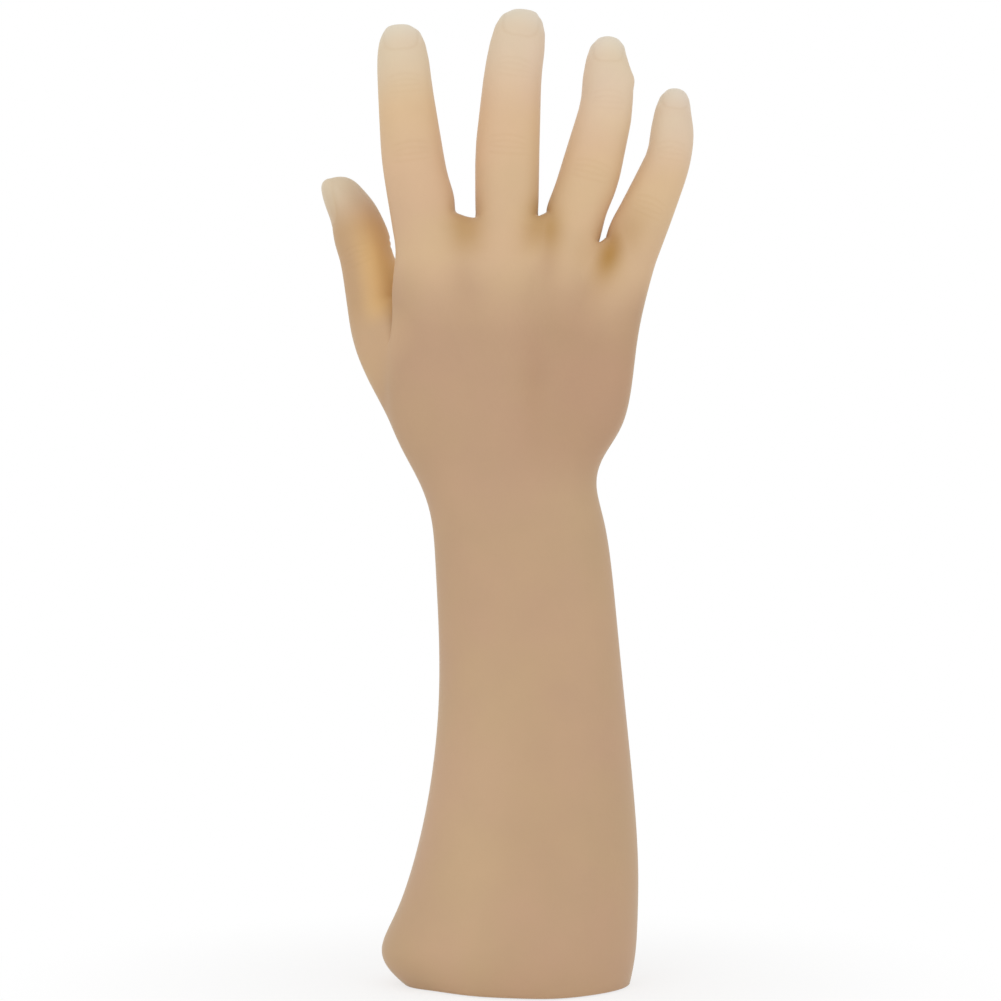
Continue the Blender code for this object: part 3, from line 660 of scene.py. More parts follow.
# %% Nails
NAIL_LENGTH_MM = {"index": 12.0, "middle": 12.5, "ring": 11.5, "little": 9.5, "thumb": 14.5}
NAIL_TURN = {"thumb": 44.0}         # degrees that a nail is turned about its bone
NAIL_OVERHANG_MM = {"thumb": 0.4}   # how far its free edge stands off the tip
NAIL_SHARE = 0.70                   # of the finger's half width at the pad
NAIL_SQUARENESS = 3.2
NAIL_TO_TIP_MM = 0.6
PLATE_MM, GROOVE_MM, LIP_MM = 0.06, 0.08, 0.04
GROOVE_SHADE_MM = 0.15               # the groove gets the painted shade of a crease of this depth

nail = np.zeros(len(points))
for name, digit in DIGITS.items():
    own, (across, palmward, along) = own_places(name, -1)
    turn = radians(NAIL_TURN.get(name, 0.0))
    across, palmward = (across * cos(turn) - palmward * sin(turn),
                        across * sin(turn) + palmward * cos(turn))
    half_width = NAIL_SHARE * digit.half_widths[-1]
    half_length = NAIL_LENGTH_MM[name] / 2
    middle = digit.bones[-1] - NAIL_TO_TIP_MM - half_length
    upward = (along - middle) / half_length
    outline = (np.abs(across) / half_width) ** NAIL_SQUARENESS + np.abs(upward) ** NAIL_SQUARENESS
    inside = (1 - outline ** (1 / NAIL_SQUARENESS)) * half_width
    back_side = soft_step(-palmward, 0.5, 2.5)
    plate = soft_step(inside, -0.1, 0.7) * back_side
    groove = bell(inside - 0.15, 0.55) * back_side * (1 - soft_step(upward, 0.55, 1.0))
    lip = bell(inside + 1.3, 1.0) * back_side * (1 - soft_step(upward, 0.3, 1.0))
    push[own] += PLATE_MM * plate - GROOVE_MM * groove + LIP_MM * lip
    overhang = NAIL_OVERHANG_MM.get(name, 0.0) * soft_step(upward, 0.0, 1.0)
    push[own] += overhang * back_side * soft_step(inside, -3.0, 2.0)
    nail[own] = plate
    dent[own] = np.maximum(dent[own], GROOVE_SHADE_MM * groove)
print("nail points:", int((nail > 0.5).sum()))

# %% [markdown]
# The palm faces away from the photograph, but the part is seen from all sides. Three long creases
# cross it: one round the ball of the thumb, one across the middle and one under the fingers. Two
# more run across the inside of the wrist. Each is a smooth curve through a few points in the plane
# of the palm, and the groove follows the distance from that curve.

# %% Creases of the palm and wrist
PALM_LINES_MM = (
    ((-40.0, 238.0), (-27.0, 237.0), (-14.0, 228.0), (-6.5, 213.0), (-4.5, 198.0), (-8.0, 186.0)),
    ((-39.0, 239.5), (-22.0, 239.0), (-4.0, 232.0), (12.0, 222.0), (27.0, 211.0)),
    ((-21.0, 262.0), (-13.0, 254.0), (0.0, 247.0), (18.0, 241.0), (36.0, 236.5), (46.0, 236.0)),
    ((-24.0, 177.0), (-10.0, 174.6), (6.0, 174.2), (22.0, 176.0), (30.0, 178.0)),
    ((-24.0, 171.0), (-8.0, 169.4), (8.0, 169.2), (26.0, 171.5)),
)
PALM_DEPTHS_MM = (0.75, 0.55, 0.65, 0.35, 0.25)
LINE_REACH_MM = 0.9
BESIDE_LINE_MM = (2.2, 1.6)     # where the skin swells beside a crease, and the reach of that
SWELL_SHARE = 0.35              # of the crease's depth
LINE_FADES = (0.0, 0.12, 0.85, 1.0)     # shares of its length
PALM_FROM_MM, PALM_TO_MM = 160.0, 268.0


def smooth_line(corners, steps=12):
    """Points of a curve that passes through all the corners."""
    ends = [2 * np.array(corners[0]) - corners[1], *map(np.array, corners),
            2 * np.array(corners[-1]) - corners[-2]]
    line = []
    for a, b, c, d in zip(ends, ends[1:], ends[2:], ends[3:]):
        for step in range(steps):
            t = step / steps
            line.append(0.5 * (2 * b + (c - a) * t + (2 * a - 5 * b + 4 * c - d) * t * t
                               + (3 * b - a - 3 * c + d) * t ** 3))
    return np.array(line + [ends[-2]])


def distance_to(line, places):
    """Distance from each place to a run of short straight stretches, and how far along it is."""
    nearest = np.full(len(places), 1e9)
    reached = np.zeros(len(places))
    for number, (a, b) in enumerate(zip(line, line[1:])):
        run = b - a
        share = np.clip(((places - a) @ run) / (run @ run), 0, 1)
        gap = np.linalg.norm(places - a - share[:, None] * run, axis=1)
        closer = gap < nearest
        nearest[closer] = gap[closer]
        reached[closer] = (number + share[closer]) / (len(line) - 1)
    return nearest, reached


in_palm = ((normals[:, 1] > 0.05) & (z > PALM_FROM_MM) & (z < PALM_TO_MM)
           & (vertex_zone != DIGIT_ZONE["thumb"]))
facing = soft_step(normals[in_palm, 1], 0.1, 0.5)
for corners, depth in zip(PALM_LINES_MM, PALM_DEPTHS_MM):
    gap, reached = distance_to(smooth_line(corners), np.stack((x[in_palm], z[in_palm]), 1))
    strength = depth * band(reached, *LINE_FADES) * facing
    groove = strength * bell(gap, LINE_REACH_MM)
    push[in_palm] += SWELL_SHARE * strength * bell(gap - BESIDE_LINE_MM[0], BESIDE_LINE_MM[1]) - groove
    dent[in_palm] = np.maximum(dent[in_palm], groove)
print("palm points in reach:", int(in_palm.sum()))

# %% Push the relief into the skin
points += normals * push[:, None]
print("pushed by", round(push.min(), 2), "to", round(push.max(), 2), "mm")

# %% [markdown]
# The foot of the thumb meets the palm in a fold. The cage makes it too long, so its lower end is
# filled: the skin there is brought out to a slope from the palm's edge to the thumb, and is then
# relaxed. Each point moves again and again towards the middle of its neighbours, as a sculptor's
# smooth brush does. The strength fades out all round, so nothing else changes.

# %% Fill the lower end of the thumb's fold
SLOPE_MM = (-41.0, -4.5, 0.93)      # x and y where the slope starts, and how fast it falls away
FILL_UP_MM = (218.0, 229.0, 236.5, 247.0)   # heights of the fades
FILL_ACROSS_MM = (-57.0, -51.0, -38.0, -35.0)
BACK_HALF_MM = (12.0, 18.0)         # y where the back ends

slope = SLOPE_MM[1] + SLOPE_MM[2] * (SLOPE_MM[0] - x)
back_half = 1 - soft_step(points[:, 1], *BACK_HALF_MM)
fill = band(z, *FILL_UP_MM) * band(x, *FILL_ACROSS_MM) * back_half
filled = mix(points[:, 1], np.minimum(points[:, 1], slope), fill)
print("filled by up to", round((points[:, 1] - filled).max(), 1), "mm")
points[:, 1] = filled

# %% Relax the skin there
FOLD_MM = (-42.5, 6.0)              # x of the fold and reach across it
FOLD_UP_MM = (216.0, 227.0, 238.0, 248.0)
WEAKEST_HOLD = 0.003
RELAX_ROUNDS, RELAX_SHARE = 400, 0.5

hold = bell(x - FOLD_MM[0], FOLD_MM[1]) * band(z, *FOLD_UP_MM) * back_half
near_fold = np.nonzero(hold > WEAKEST_HOLD)[0]
place_of = np.full(len(points), -1)
place_of[near_fold] = np.arange(len(near_fold))
ends = read(skin.edges, "vertices", 2, np.int32)
ends = ends[(place_of[ends] >= 0).any(axis=1)]
ends = np.concatenate((ends, ends[:, ::-1]))
ends = ends[place_of[ends[:, 0]] >= 0]
slots = place_of[ends[:, 0]]
neighbours = np.bincount(slots, minlength=len(near_fold))[:, None]
strength = RELAX_SHARE * hold[near_fold, None]
for _ in range(RELAX_ROUNDS):
    others = points[ends[:, 1]]
    middle = np.stack([np.bincount(slots, others[:, axis], len(near_fold)) for axis in range(3)], 1)
    points[near_fold] += strength * (middle / neighbours - points[near_fold])
print("relaxed points:", len(near_fold))

# %% [markdown]
# Last come a few pulls, like those of a sculptor's grab brush, for what bones and widths can't say:
# the thumb's pointed tip, the corners of the fingertips, and the sides of the gaps near the webs.

# %% Pulls on the outline
PULLS_MM = (        # digit, x, height, reach across, reach up, move in x, move in height
    ("thumb", -64.5, 291.5, 9.0, 5.4, -3.1, 1.5),
    ("thumb", -55.0, 286.0, 6.0, 5.0, -1.2, 0.0),
    ("thumb", -66.5, 275.5, 5.0, 7.0, 1.5, 0.0),
    ("middle", 6.0, 351.5, 7.0, 2.6, 1.2, 0.0),
    ("ring", 47.0, 326.0, 4.0, 3.2, 0.9, 0.0),
    ("ring", 45.0, 335.5, 4.0, 5.0, -0.8, 0.0),
    ("ring", 36.3, 340.5, 4.0, 3.0, 0.0, 0.7),
    ("little", 61.0, 321.0, 3.4, 3.0, 0.0, 0.7),
    ("little", 67.0, 315.0, 4.0, 6.0, -0.9, 0.0),
    ("little", 37.5, 273.0, 4.5, 9.0, -1.1, 0.0),
    ("ring", 35.7, 276.5, 4.5, 8.5, -0.9, 0.0),
    ("ring", 14.5, 280.0, 4.0, 6.5, -0.7, 0.0),
    ("index", -19.5, 283.0, 5.0, 7.0, 1.2, 0.0),
    ("index", -42.0, 263.0, 6.0, 7.0, 0.9, 0.0),
    ("thumb", -41.5, 264.0, 4.0, 5.5, -1.2, 0.0),
    ("index", -40.0, 345.5, 6.0, 2.5, -0.9, 0.0),
)
for name, at_x, at_z, across, up, move_x, move_z in PULLS_MM:
    own = highest == DIGIT_ZONE[name]
    hold = bell(points[own, 0] - at_x, across) * bell(points[own, 2] - at_z, up)
    points[own] += hold[:, None] * np.array((move_x, 0.0, move_z))
print("pulls:", len(PULLS_MM))

# %% The cut end's near rim: shallower on the thumb's side, fuller on the other
RIM_TOP_MM = 60.0
RIM_FADE_MM = (4.0, 55.0)
RIM_MOVES_MM = ((4.5, -27.0, 13.0), (-3.5, 17.0, 15.0))     # away from the viewer, at x, reach
low = z < RIM_TOP_MM
near = soft_step(-normals[low, 1], 0.0, 0.6) * (1 - soft_step(z[low], *RIM_FADE_MM))
for move, at_x, across in RIM_MOVES_MM:
    points[low, 1] += near * move * bell(x[low] - at_x, across)
skin.vertices.foreach_set("co", (points * MM).astype(np.float32).ravel())
skin.update()
normals = read_normals(skin)
print("skin height:", round(z.max(), 1), "mm")

# %% [markdown]
# ## Colour that grows with the hand
#
# Silicone is dyed right through, and how it looks changes with how thick it is: thin fingertips let
# light in and look pale, the skin between the fingers looks amber, and the thick forearm looks
# duller. Much of this is painted into the colour as light and shade: a painted glow at the fingertips
# and in the thumb's web, painted highlights over the knuckles and on the forearm's lit side, and
# painted shade in the webs, in the valleys between the knuckles, in the creases and over the back of
# the hand. Colour by height alone would slide when a finger bends, so each point gets its own amounts
# of these, as attributes that move with it.

# %% How pale and warm each point is
# warm is partly the fingers' lighter silicone and partly painted light: the glow of the thin fingers, painted
# highlights on the knuckle mounds and painted light on the forearm's lit side.
HAND_ABOVE_MM = 205.0
HAND_WARM, HAND_RISE_MM = 0.72, (-27.0, 8.0)    # amount, and heights over the knuckles
WARM_LATE_MM = (7.0, 0.0, 17.0) # how much later it comes beyond these x
# Beside each finger's line warm spreads down onto the knuckle mound, as a painted highlight.
SPREAD_MM = (9.5, 0.3, 30.0)    # reach beside a finger's line, its growth down the palm, how far
SPREAD_FADE_MM = (-14.0, 6.0)
ARM_LIT_SIDE, ARM_FADE_MM = 0.26, (60.0, 155.0)     # painted light on the arm's lit side
ARM_LINE_MM = (-21.0, 0.1, 16.0)                # its x at the base, lean and reach
FINGER_WARM, FINGER_RISE_MM = 0.28, (8.0, 55.0)
# pale is painted light: the glow of light through the thin fingertips.
PALE_FROM_MM = {"index": -12.0, "middle": -22.0, "ring": -26.0, "little": -14.0}
PALE_FULL_MM, TIP_MM = 14.0, 12.0
PALE_FINGER, PALE_TIP = 0.45, 0.5

pale = np.zeros(len(points))
starts = [BONES[name][1].start / MM for name in FINGERS]
above = z - np.interp(x, [start.x for start in starts], [start.z for start in starts])
above -= WARM_LATE_MM[0] * soft_step(x, *WARM_LATE_MM[1:])
spread = np.zeros(len(points))
for name in FINGERS:
    across, _, along = in_bone(BONES[name][1], points)
    reach = SPREAD_MM[0] + SPREAD_MM[1] * np.clip(-along, 0, SPREAD_MM[2])
    spread = np.maximum(spread, bell(across, reach))
on_hand = (z > HAND_ABOVE_MM) & (vertex_zone != DIGIT_ZONE["thumb"])
warm = HAND_WARM * soft_step(above, *HAND_RISE_MM) * on_hand
warm *= mix(spread, 1.0, soft_step(above, *SPREAD_FADE_MM))
beside_line = x - ARM_LINE_MM[0] - ARM_LINE_MM[1] * z
warm += ARM_LIT_SIDE * bell(beside_line, ARM_LINE_MM[2]) * (1 - soft_step(z, *ARM_FADE_MM))
for name in FINGERS:
    own, (_, _, along) = own_places(name, 1)
    warm[own] += FINGER_WARM * soft_step(along, *FINGER_RISE_MM)
    own, (_, _, along) = own_places(name, -1)
    length = DIGITS[name].bones[-1]
    pale[own] = (PALE_FINGER * soft_step(along, PALE_FROM_MM[name], PALE_FULL_MM)
                 + PALE_TIP * soft_step(along, length - TIP_MM, length))
print("palest:", round(pale.max(), 2), "warmest:", round(warm.max(), 2))

# %% How amber the webs are: painted shade between the fingers, in the silicone's amber
WEB_AMBER, WEB_AMBER_MM = 0.60, (0.5, 5.8)      # full up to this distance, then its reach
WEB_BOTTOMS_MM = ((-14.0, 13.0, 34.0), (276.0, 276.5, 266.0))     # x and height of the webs
BELOW_WEB_MM = (5.0, 20.0)
LIGHT_SIDE = (0.6, 29.0, 5.5)   # amount, x, reach: less painted shade on the ring finger's side of the last web
# Painted shade in the pockets below the webs: the hollow below the last web, beside the little finger's root, and
# below the web of the middle and ring fingers.
WEB_SHADE_SPOTS = (                      # strength, x, height, reach across, reach up, lean
    (1.0, 36.3, 261.2, 4.9, 9.5, 0.25),
    (0.36, 42.8, 269.5, 6.5, 9.0, 0.3),
    (0.70, 15.0, 270.5, 4.6, 8.5, 0.0),
)
full_to, reach = WEB_AMBER_MM
below_web = np.interp(x, *WEB_BOTTOMS_MM) - z
amber = WEB_AMBER * bell(np.clip(from_web - full_to, 0, None), reach)
amber *= 1 - soft_step(below_web, *BELOW_WEB_MM)
amber *= 1 - LIGHT_SIDE[0] * bell(x - LIGHT_SIDE[1], LIGHT_SIDE[2])
for strength, *place in WEB_SHADE_SPOTS:
    amber = np.maximum(amber, strength * spot(*place))
print("most amber:", round(amber.max(), 2))

# %% The thumb's amounts, with the stretches along its first bone where they change
ROOT_MM = (0.0, 13.0)
# On the thumb, pale at the tip and thin in the web are painted light, the glow through thin silicone.
THUMB_WARM, WARMER_MM = (0.42, 0.62), (10.0, 58.0)      # at the root and at the tip
THUMB_PALE, PALER_MM = 0.55, (38.0, 61.0)
THUMB_AMBER, AMBER_END_MM, AMBER_AT_ROOT = 0.29, (38.0, 60.0), 0.4
THUMB_WEB_GLOW, WEB_GLOW_END_MM, WEB_GLOW_ACROSS_MM = 0.85, (26.0, 54.0), (-2.0, 8.0)

own, (across, _, along) = own_places("thumb", 1)
root_fade = soft_step(along, *ROOT_MM)
warm[own] = mix(*THUMB_WARM, soft_step(along, *WARMER_MM))
pale[own] = THUMB_PALE * soft_step(along, *PALER_MM)
amber[own] = THUMB_AMBER * (1 - soft_step(along, *AMBER_END_MM)) * mix(AMBER_AT_ROOT, 1.0, root_fade)
thin = np.zeros(len(points))
thin[own] = THUMB_WEB_GLOW * (1 - soft_step(along, *WEB_GLOW_END_MM)) * root_fade
thin[own] *= soft_step(across, *WEB_GLOW_ACROSS_MM)
print("thumb points:", int(own.sum()))

# %% The palm takes them at the thumb's root, so that no edge shows there
THUMB_FADE_MM = 16.0
BESIDE_X_MM, BESIDE_FROM_MM, BESIDE_TO_MM = -10.0, 180.0, 262.0
thumb_edge = np.nonzero((lowest == PALM) & (highest == DIGIT_ZONE["thumb"]))[0]
edge_tree = KDTree(len(thumb_edge))
for number in thumb_edge:
    edge_tree.insert(points[number], int(number))
edge_tree.balance()
beside_thumb = np.nonzero(((vertex_zone == PALM) | (vertex_zone == DIGIT_ZONE["index"]))
                          & (x < BESIDE_X_MM) & (z > BESIDE_FROM_MM) & (z < BESIDE_TO_MM))[0]
for index in beside_thumb:
    _, nearest, gap = edge_tree.find(points[index])
    fade = 1 - soft_step(gap, 0.0, THUMB_FADE_MM)
    for amounts in (amber, thin, warm):
        amounts[index] = max(amounts[index], fade * amounts[nearest])
print("palm points that take them:", len(beside_thumb))

# %% Painted shade over the back of the hand, darker towards the little finger and in its valleys
BACK_SHADE_FROM_MM = (170.0, 198.0)
BACK_SHADE_SIDES, BACK_SHADE_ACROSS_MM = (0.16, 0.52), (-8.0, 26.0)
# The valleys between the knuckles and beside the middle tendon get more painted shade and less of the warm
# colour's painted highlight.
SHADED_VALLEYS = (                     # strength, x, height, reach across, reach up
    (0.30, 9.0, 216.0, 4.5, 16.0),
    (0.30, 14.4, 260.0, 3.6, 12.0),
    (0.22, -15.8, 256.0, 4.2, 12.0),
)
ruddy = soft_step(z, *BACK_SHADE_FROM_MM) * mix(*BACK_SHADE_SIDES, soft_step(x, *BACK_SHADE_ACROSS_MM)) * behind
for strength, *place in SHADED_VALLEYS:
    valley_shade = strength * spot(*place)
    ruddy += valley_shade
    warm *= 1 - valley_shade
print("most_back_shade:", round(ruddy.max(), 2))

# %% [markdown]
# ## Pieces that bend
#
# The frame's bodies are rigid, and a piece can bend between two of them at most. So the one skin is
# shared out: the forearm and the palm ride on the arm, and each digit has one piece for each of its
# joints, divided halfway along the bones where the skin doesn't bend. The pieces are cut from the
# same mesh, so their edges meet point for point, and each keeps the normals of the whole skin, so no
# seam shows in the light.

# %% Share out the faces
CUTS_MM = {name: (9.0, 0.55) for name in FINGERS} | {"thumb": (15.0, None)}
LINKS = {name: ("root", "middle", "tip") for name in FINGERS} | {"thumb": ("root", "tip")}
centres = points[face_corners].mean(axis=1)
face_piece = np.full(len(centres), -1)
PIECES = ["forearm_silicone", "palm_silicone"]
face_piece[face_zone == FOREARM] = 0
face_piece[face_zone == PALM] = 1
bends = {}
for name, labels in HINGES.items():
    own = face_zone == DIGIT_ZONE[name]
    first_cut, second_cut = CUTS_MM[name]
    digit, bones = DIGITS[name], BONES[name]
    past = in_bone(bones[1], centres[own])[2] > digit.bones[0] - first_cut
    part = past.astype(int)
    if second_cut:
        part += past & (in_bone(bones[2], centres[own])[2] > second_cut * digit.bones[1])
    face_piece[own] = part + len(PIECES)
    below = "arm"
    for hinge_number, (label, link) in enumerate(zip(labels, LINKS[name])):
        PIECES.append(f"{name}_{label}_silicone")
        bends[PIECES[-1]] = (name, hinge_number, below, f"{name}_{link}")
        below = f"{name}_{link}"
print({name: int(count) for name, count in zip(PIECES, np.bincount(face_piece))})


# %% Store what each point carries
WEB_HOLD_MM = 9.0               # skin this near to a web is held back by it
DARKEST_MM = 0.6                # a crease of this depth has its full painted shade
AMOUNTS = {"pale": pale, "warm": warm, "amber": amber, "thin": thin, "ruddy": ruddy, "nail": nail,
           # crease: painted shade in the creases and grooves, from their depth
           "crease": np.clip(dent / DARKEST_MM, 0, 1),
           "web_hold": soft_step(from_web, 0.0, WEB_HOLD_MM)}
for name, values in AMOUNTS.items():
    layer = skin.attributes.new(name, "FLOAT", "POINT")
    layer.data.foreach_set("value", values.astype(np.float32))
whole = skin.attributes.new("whole_normal", "FLOAT_VECTOR", "POINT")
whole.data.foreach_set("vector", normals.astype(np.float32).ravel())
skin.polygons.foreach_set("material_index", face_piece.astype(np.int32))
print("attributes:", *AMOUNTS, whole.name)


# %% Cut one piece out of the skin
def cut_piece(number):
    bm = bmesh.new()
    bm.from_mesh(skin)
    others = [face for face in bm.faces if face.material_index != number]
    bmesh.ops.delete(bm, geom=others, context="FACES")
    for face in bm.faces:
        face.material_index = 0
    return bm


def take_normals(mesh):
    """The whole skin's normals at a piece's points; their attribute has done its work."""
    layer = mesh.attributes["whole_normal"]
    values = read(layer.data, "vector", 3)
    mesh.attributes.remove(layer)
    return values


def finish_piece(name, bm):
    mesh = new_mesh(name, bm)
    mesh.materials.clear()
    piece = new_object(name, mesh)
    return piece


print("pieces to cut:", len(PIECES))

# %% [markdown]
# The forearm ends in a flat cut. There the silicone is a thick wall round the foam core, so the skin
# is cut at the base plane, its edge is bridged to an oval ring that follows the core, and the ring
# is drawn up inside, where the narrow gap to the core shows.

# %% The forearm, with its cut end
CORE_FOOT_MM = (33.3, 27.3)     # half width and half depth of the core at the base
CORE_FOOT_X_MM = 1.5
WALL_HEIGHT = 9.0 * MM
BASE_GAP = 1e-5                 # an edge this near to the base is on the rim

forearm_bm = cut_piece(0)
bmesh.ops.bisect_plane(forearm_bm, geom=[*forearm_bm.verts, *forearm_bm.edges, *forearm_bm.faces],
                       plane_co=(0, 0, 0), plane_no=(0, 0, 1), clear_inner=True, dist=1e-7)
rim = [edge for edge in forearm_bm.edges
       if edge.is_boundary and max(vertex.co.z for vertex in edge.verts) < BASE_GAP]
to_core = (Matrix.Translation((CORE_FOOT_X_MM * MM, 0, 0))
           @ Matrix.Diagonal((CORE_FOOT_MM[0] * MM, CORE_FOOT_MM[1] * MM, 1, 1)))
oval = bmesh.ops.create_circle(forearm_bm, segments=len(rim), radius=1.0, matrix=to_core)["verts"]
oval_edges = list({edge for vertex in oval for edge in vertex.link_edges})
bridged = bmesh.ops.bridge_loops(forearm_bm, edges=rim + oval_edges)
wall = bmesh.ops.extrude_edge_only(forearm_bm, edges=oval_edges)["geom"]
bmesh.ops.translate(forearm_bm, verts=of_type(wall, bmesh.types.BMVert), vec=(0, 0, WALL_HEIGHT))
cut_faces = bridged["faces"] + of_type(wall, bmesh.types.BMFace)
forearm_bm.normal_update()
below_core = Vector((CORE_FOOT_X_MM * MM, 0, -WALL_HEIGHT))
inward = [face for face in cut_faces
          if face.normal.dot(below_core - face.calc_center_median()) < 0]
bmesh.ops.reverse_faces(forearm_bm, faces=inward)
for face in cut_faces:
    face.smooth = False
forearm = finish_piece("forearm_silicone", forearm_bm)
print("rim edges:", len(rim), "cut faces:", len(cut_faces))

# %% Normals of the forearm: the whole skin's on its side, the faces' own on the cut
whole_normals = take_normals(forearm.data).tolist()
forearm.data.normals_split_custom_set(
    [whole_normals[index] if face.use_smooth else tuple(face.normal)
     for face in forearm.data.polygons for index in face.vertices])
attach(forearm, "arm")
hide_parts("arm_skin")
print("forearm corners:", len(forearm.data.loops))

# %% The palm
palm = finish_piece("palm_silicone", cut_piece(1))
palm.data.normals_split_custom_set_from_vertices(take_normals(palm.data))
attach(palm, "arm")
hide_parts("arm_skin")
print("palm faces:", len(palm.data.polygons))

# %% [markdown]
# A bending piece follows the body below up to a little before its hinge, and the body above from a
# little past it. Between fingers the skin can't follow either finger alone, so the amounts are drawn
# back to nothing along the web lines, and both neighbours stay joined to the palm there.

# %% The digits' pieces
REACH_MM = {"knuckle": (6.0, 10.0), "middle": (7.0, 7.0), "end": (6.0, 6.0)}    # before and past it
silicone_pieces = [forearm, palm]
for number, piece_name in enumerate(PIECES):
    if piece_name not in bends:
        continue
    name, hinge_number, below, above = bends[piece_name]
    piece = finish_piece(piece_name, cut_piece(number))
    piece.data.normals_split_custom_set_from_vertices(take_normals(piece.data))
    bone = BONES[name][hinge_number + 1]
    before_hinge, past_hinge = REACH_MM[HINGES[name][hinge_number]]
    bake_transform(piece, below, above, start=bone.start - bone.direction * before_hinge * MM,
             end=bone.start + bone.direction * past_hinge * MM)
    if hinge_number == 0:
        amounts = piece.data.attributes["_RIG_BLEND"].data
        held = read(piece.data.attributes["web_hold"].data, "value")
        amounts.foreach_set("value", read(amounts, "value") * held)
    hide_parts(f"{name}_skin")
    silicone_pieces.append(piece)
print("silicone pieces:", len(silicone_pieces))

# %% [markdown]
# ## Silicone
#
# Platinum-cure silicone, dyed flesh colour and cast in a mould. It is soft, slightly see-through and
# nearly matt, with the fine grain of the mould's skin texture. Its refraction is about 1.41. The
# colours are written as hex values and turned into linear light by one function.

# %% Colours and nodes
def colour(code):
    """A hex colour as linear red, green, blue and alpha."""
    parts = [int(code[place:place + 2], 16) / 255 for place in (1, 3, 5)]
    return (*(part / 12.92 if part <= 0.04045 else ((part + 0.055) / 1.055) ** 2.4 for part in parts), 1.0)


def feed(tree, node, sockets):
    """Gives each named socket its value or its link."""
    for key, value in sockets.items():
        if isinstance(value, bpy.types.NodeSocket):
            tree.links.new(value, node.inputs[key])
        else:
            node.inputs[key].default_value = value


def add(tree, kind, sockets, **settings):
    """Adds a node and returns its outputs."""
    made = tree.nodes.new("ShaderNode" + kind)
    for key, value in settings.items():
        setattr(made, key, value)
    feed(tree, made, sockets)
    return made.outputs


def new_material(name):
    material = bpy.data.materials.new(name)
    material.use_nodes = True
    return material, material.node_tree, material.node_tree.nodes["Principled BSDF"]


print("mid grey in linear light:", round(colour("#808080")[0], 3))

# %% The few kinds of node that the materials share
FACTOR, A, B, RESULT = 0, 6, 7, 2     # sockets of a Mix node that mixes colours


def blended(tree, factor, a, b, mode="MIX"):
    sockets = {FACTOR: factor, A: a, B: b}
    return add(tree, "Mix", sockets, data_type="RGBA", blend_type=mode)[RESULT]


def maths(tree, operation, a, b):
    return add(tree, "Math", {0: a, 1: b}, operation=operation)[0]


def ranged(tree, value, low, high, out_low=0.0, out_high=1.0, **settings):
    sockets = {"Value": value, "From Min": low, "From Max": high, "To Min": out_low, "To Max": out_high}
    return add(tree, "MapRange", sockets, **settings)["Result"]


def pattern(tree, kind, size, sockets=None, **settings):
    """A texture on Object coordinates whose features are size metres apart."""
    place = add(tree, "TexCoord", {})["Object"]
    return add(tree, kind, {"Vector": place, "Scale": 1 / size, **(sockets or {})}, **settings)


def noise(tree, size, detail, **sockets):
    return pattern(tree, "TexNoise", size, {"Detail": detail, **sockets})["Fac"]


def bump(tree, height, strength, depth, **settings):
    sockets = {"Height": height, "Strength": strength, "Distance": depth}
    return add(tree, "Bump", sockets, **settings)["Normal"]


print("shared kinds: blended, maths, ranged, pattern, noise and bump")

# %% Cast silicone skin
ARM_COLOUR, NAIL_COLOUR, AMBER_COLOUR = colour("#c1a080"), colour("#e0ccb2"), colour("#b4894d")
LAYERS = (                      # what each amount blends in over the arm's colour, in this order
    ("ruddy", colour("#b69072")),       # painted shade over the back of the hand
    # warm: partly the fingers' lighter silicone, partly painted light on the thin fingers, the knuckles and the
    # forearm's lit side
    ("warm", colour("#dcbb96")),
    # amber: painted shade in the webs and creases, and the thumb's golden tone
    ("amber", AMBER_COLOUR),
    ("thin", colour("#e9c083")),        # painted light: amber with the light that comes through the thumb's web
    # pale: painted light, the glow through the thin fingertips
    ("pale", colour("#e4dbca")),
)
# CREASE_SHADE is painted shade: how far the creases and nail grooves darken towards amber.
NAIL_TINT, CREASE_SHADE = 0.12, 0.30
YELLOW_DYE, PINK_DYE, DYE_SIZE = colour("#fefffa"), colour("#fffcfd"), 38 * MM
CLOUD_SIZE, CLOUD_VALUES = 22 * MM, (0.3, 0.7)      # the noise seldom goes past these values
MOTTLE, GLOSS = (0.975, 1.02), (0.50, 0.60)
NAIL_GLOSS = -0.14                      # less rough by this
GRAIN_SIZE, GRAIN_DEPTH = 1.1 * MM, 0.12 * MM       # the real grain is finer, but wouldn't show


def amount(name):
    return add(tree, "Attribute", {}, attribute_name=name)["Fac"]


silicone, tree, shader = new_material("cast_flesh_silicone")
clouds = noise(tree, CLOUD_SIZE, 3.0)
base = ARM_COLOUR
for name, layer_colour in LAYERS:
    base = blended(tree, amount(name), base, layer_colour)
base = blended(tree, maths(tree, "MULTIPLY", amount("nail"), NAIL_TINT), base, NAIL_COLOUR)
mottle = ranged(tree, clouds, *CLOUD_VALUES, *MOTTLE)
base = add(tree, "VectorMath", {0: base, "Scale": mottle}, operation="SCALE")["Vector"]
dye = ranged(tree, noise(tree, DYE_SIZE, 2.0), 0.35, 0.65)
base = blended(tree, 1.0, base, blended(tree, dye, YELLOW_DYE, PINK_DYE), "MULTIPLY")
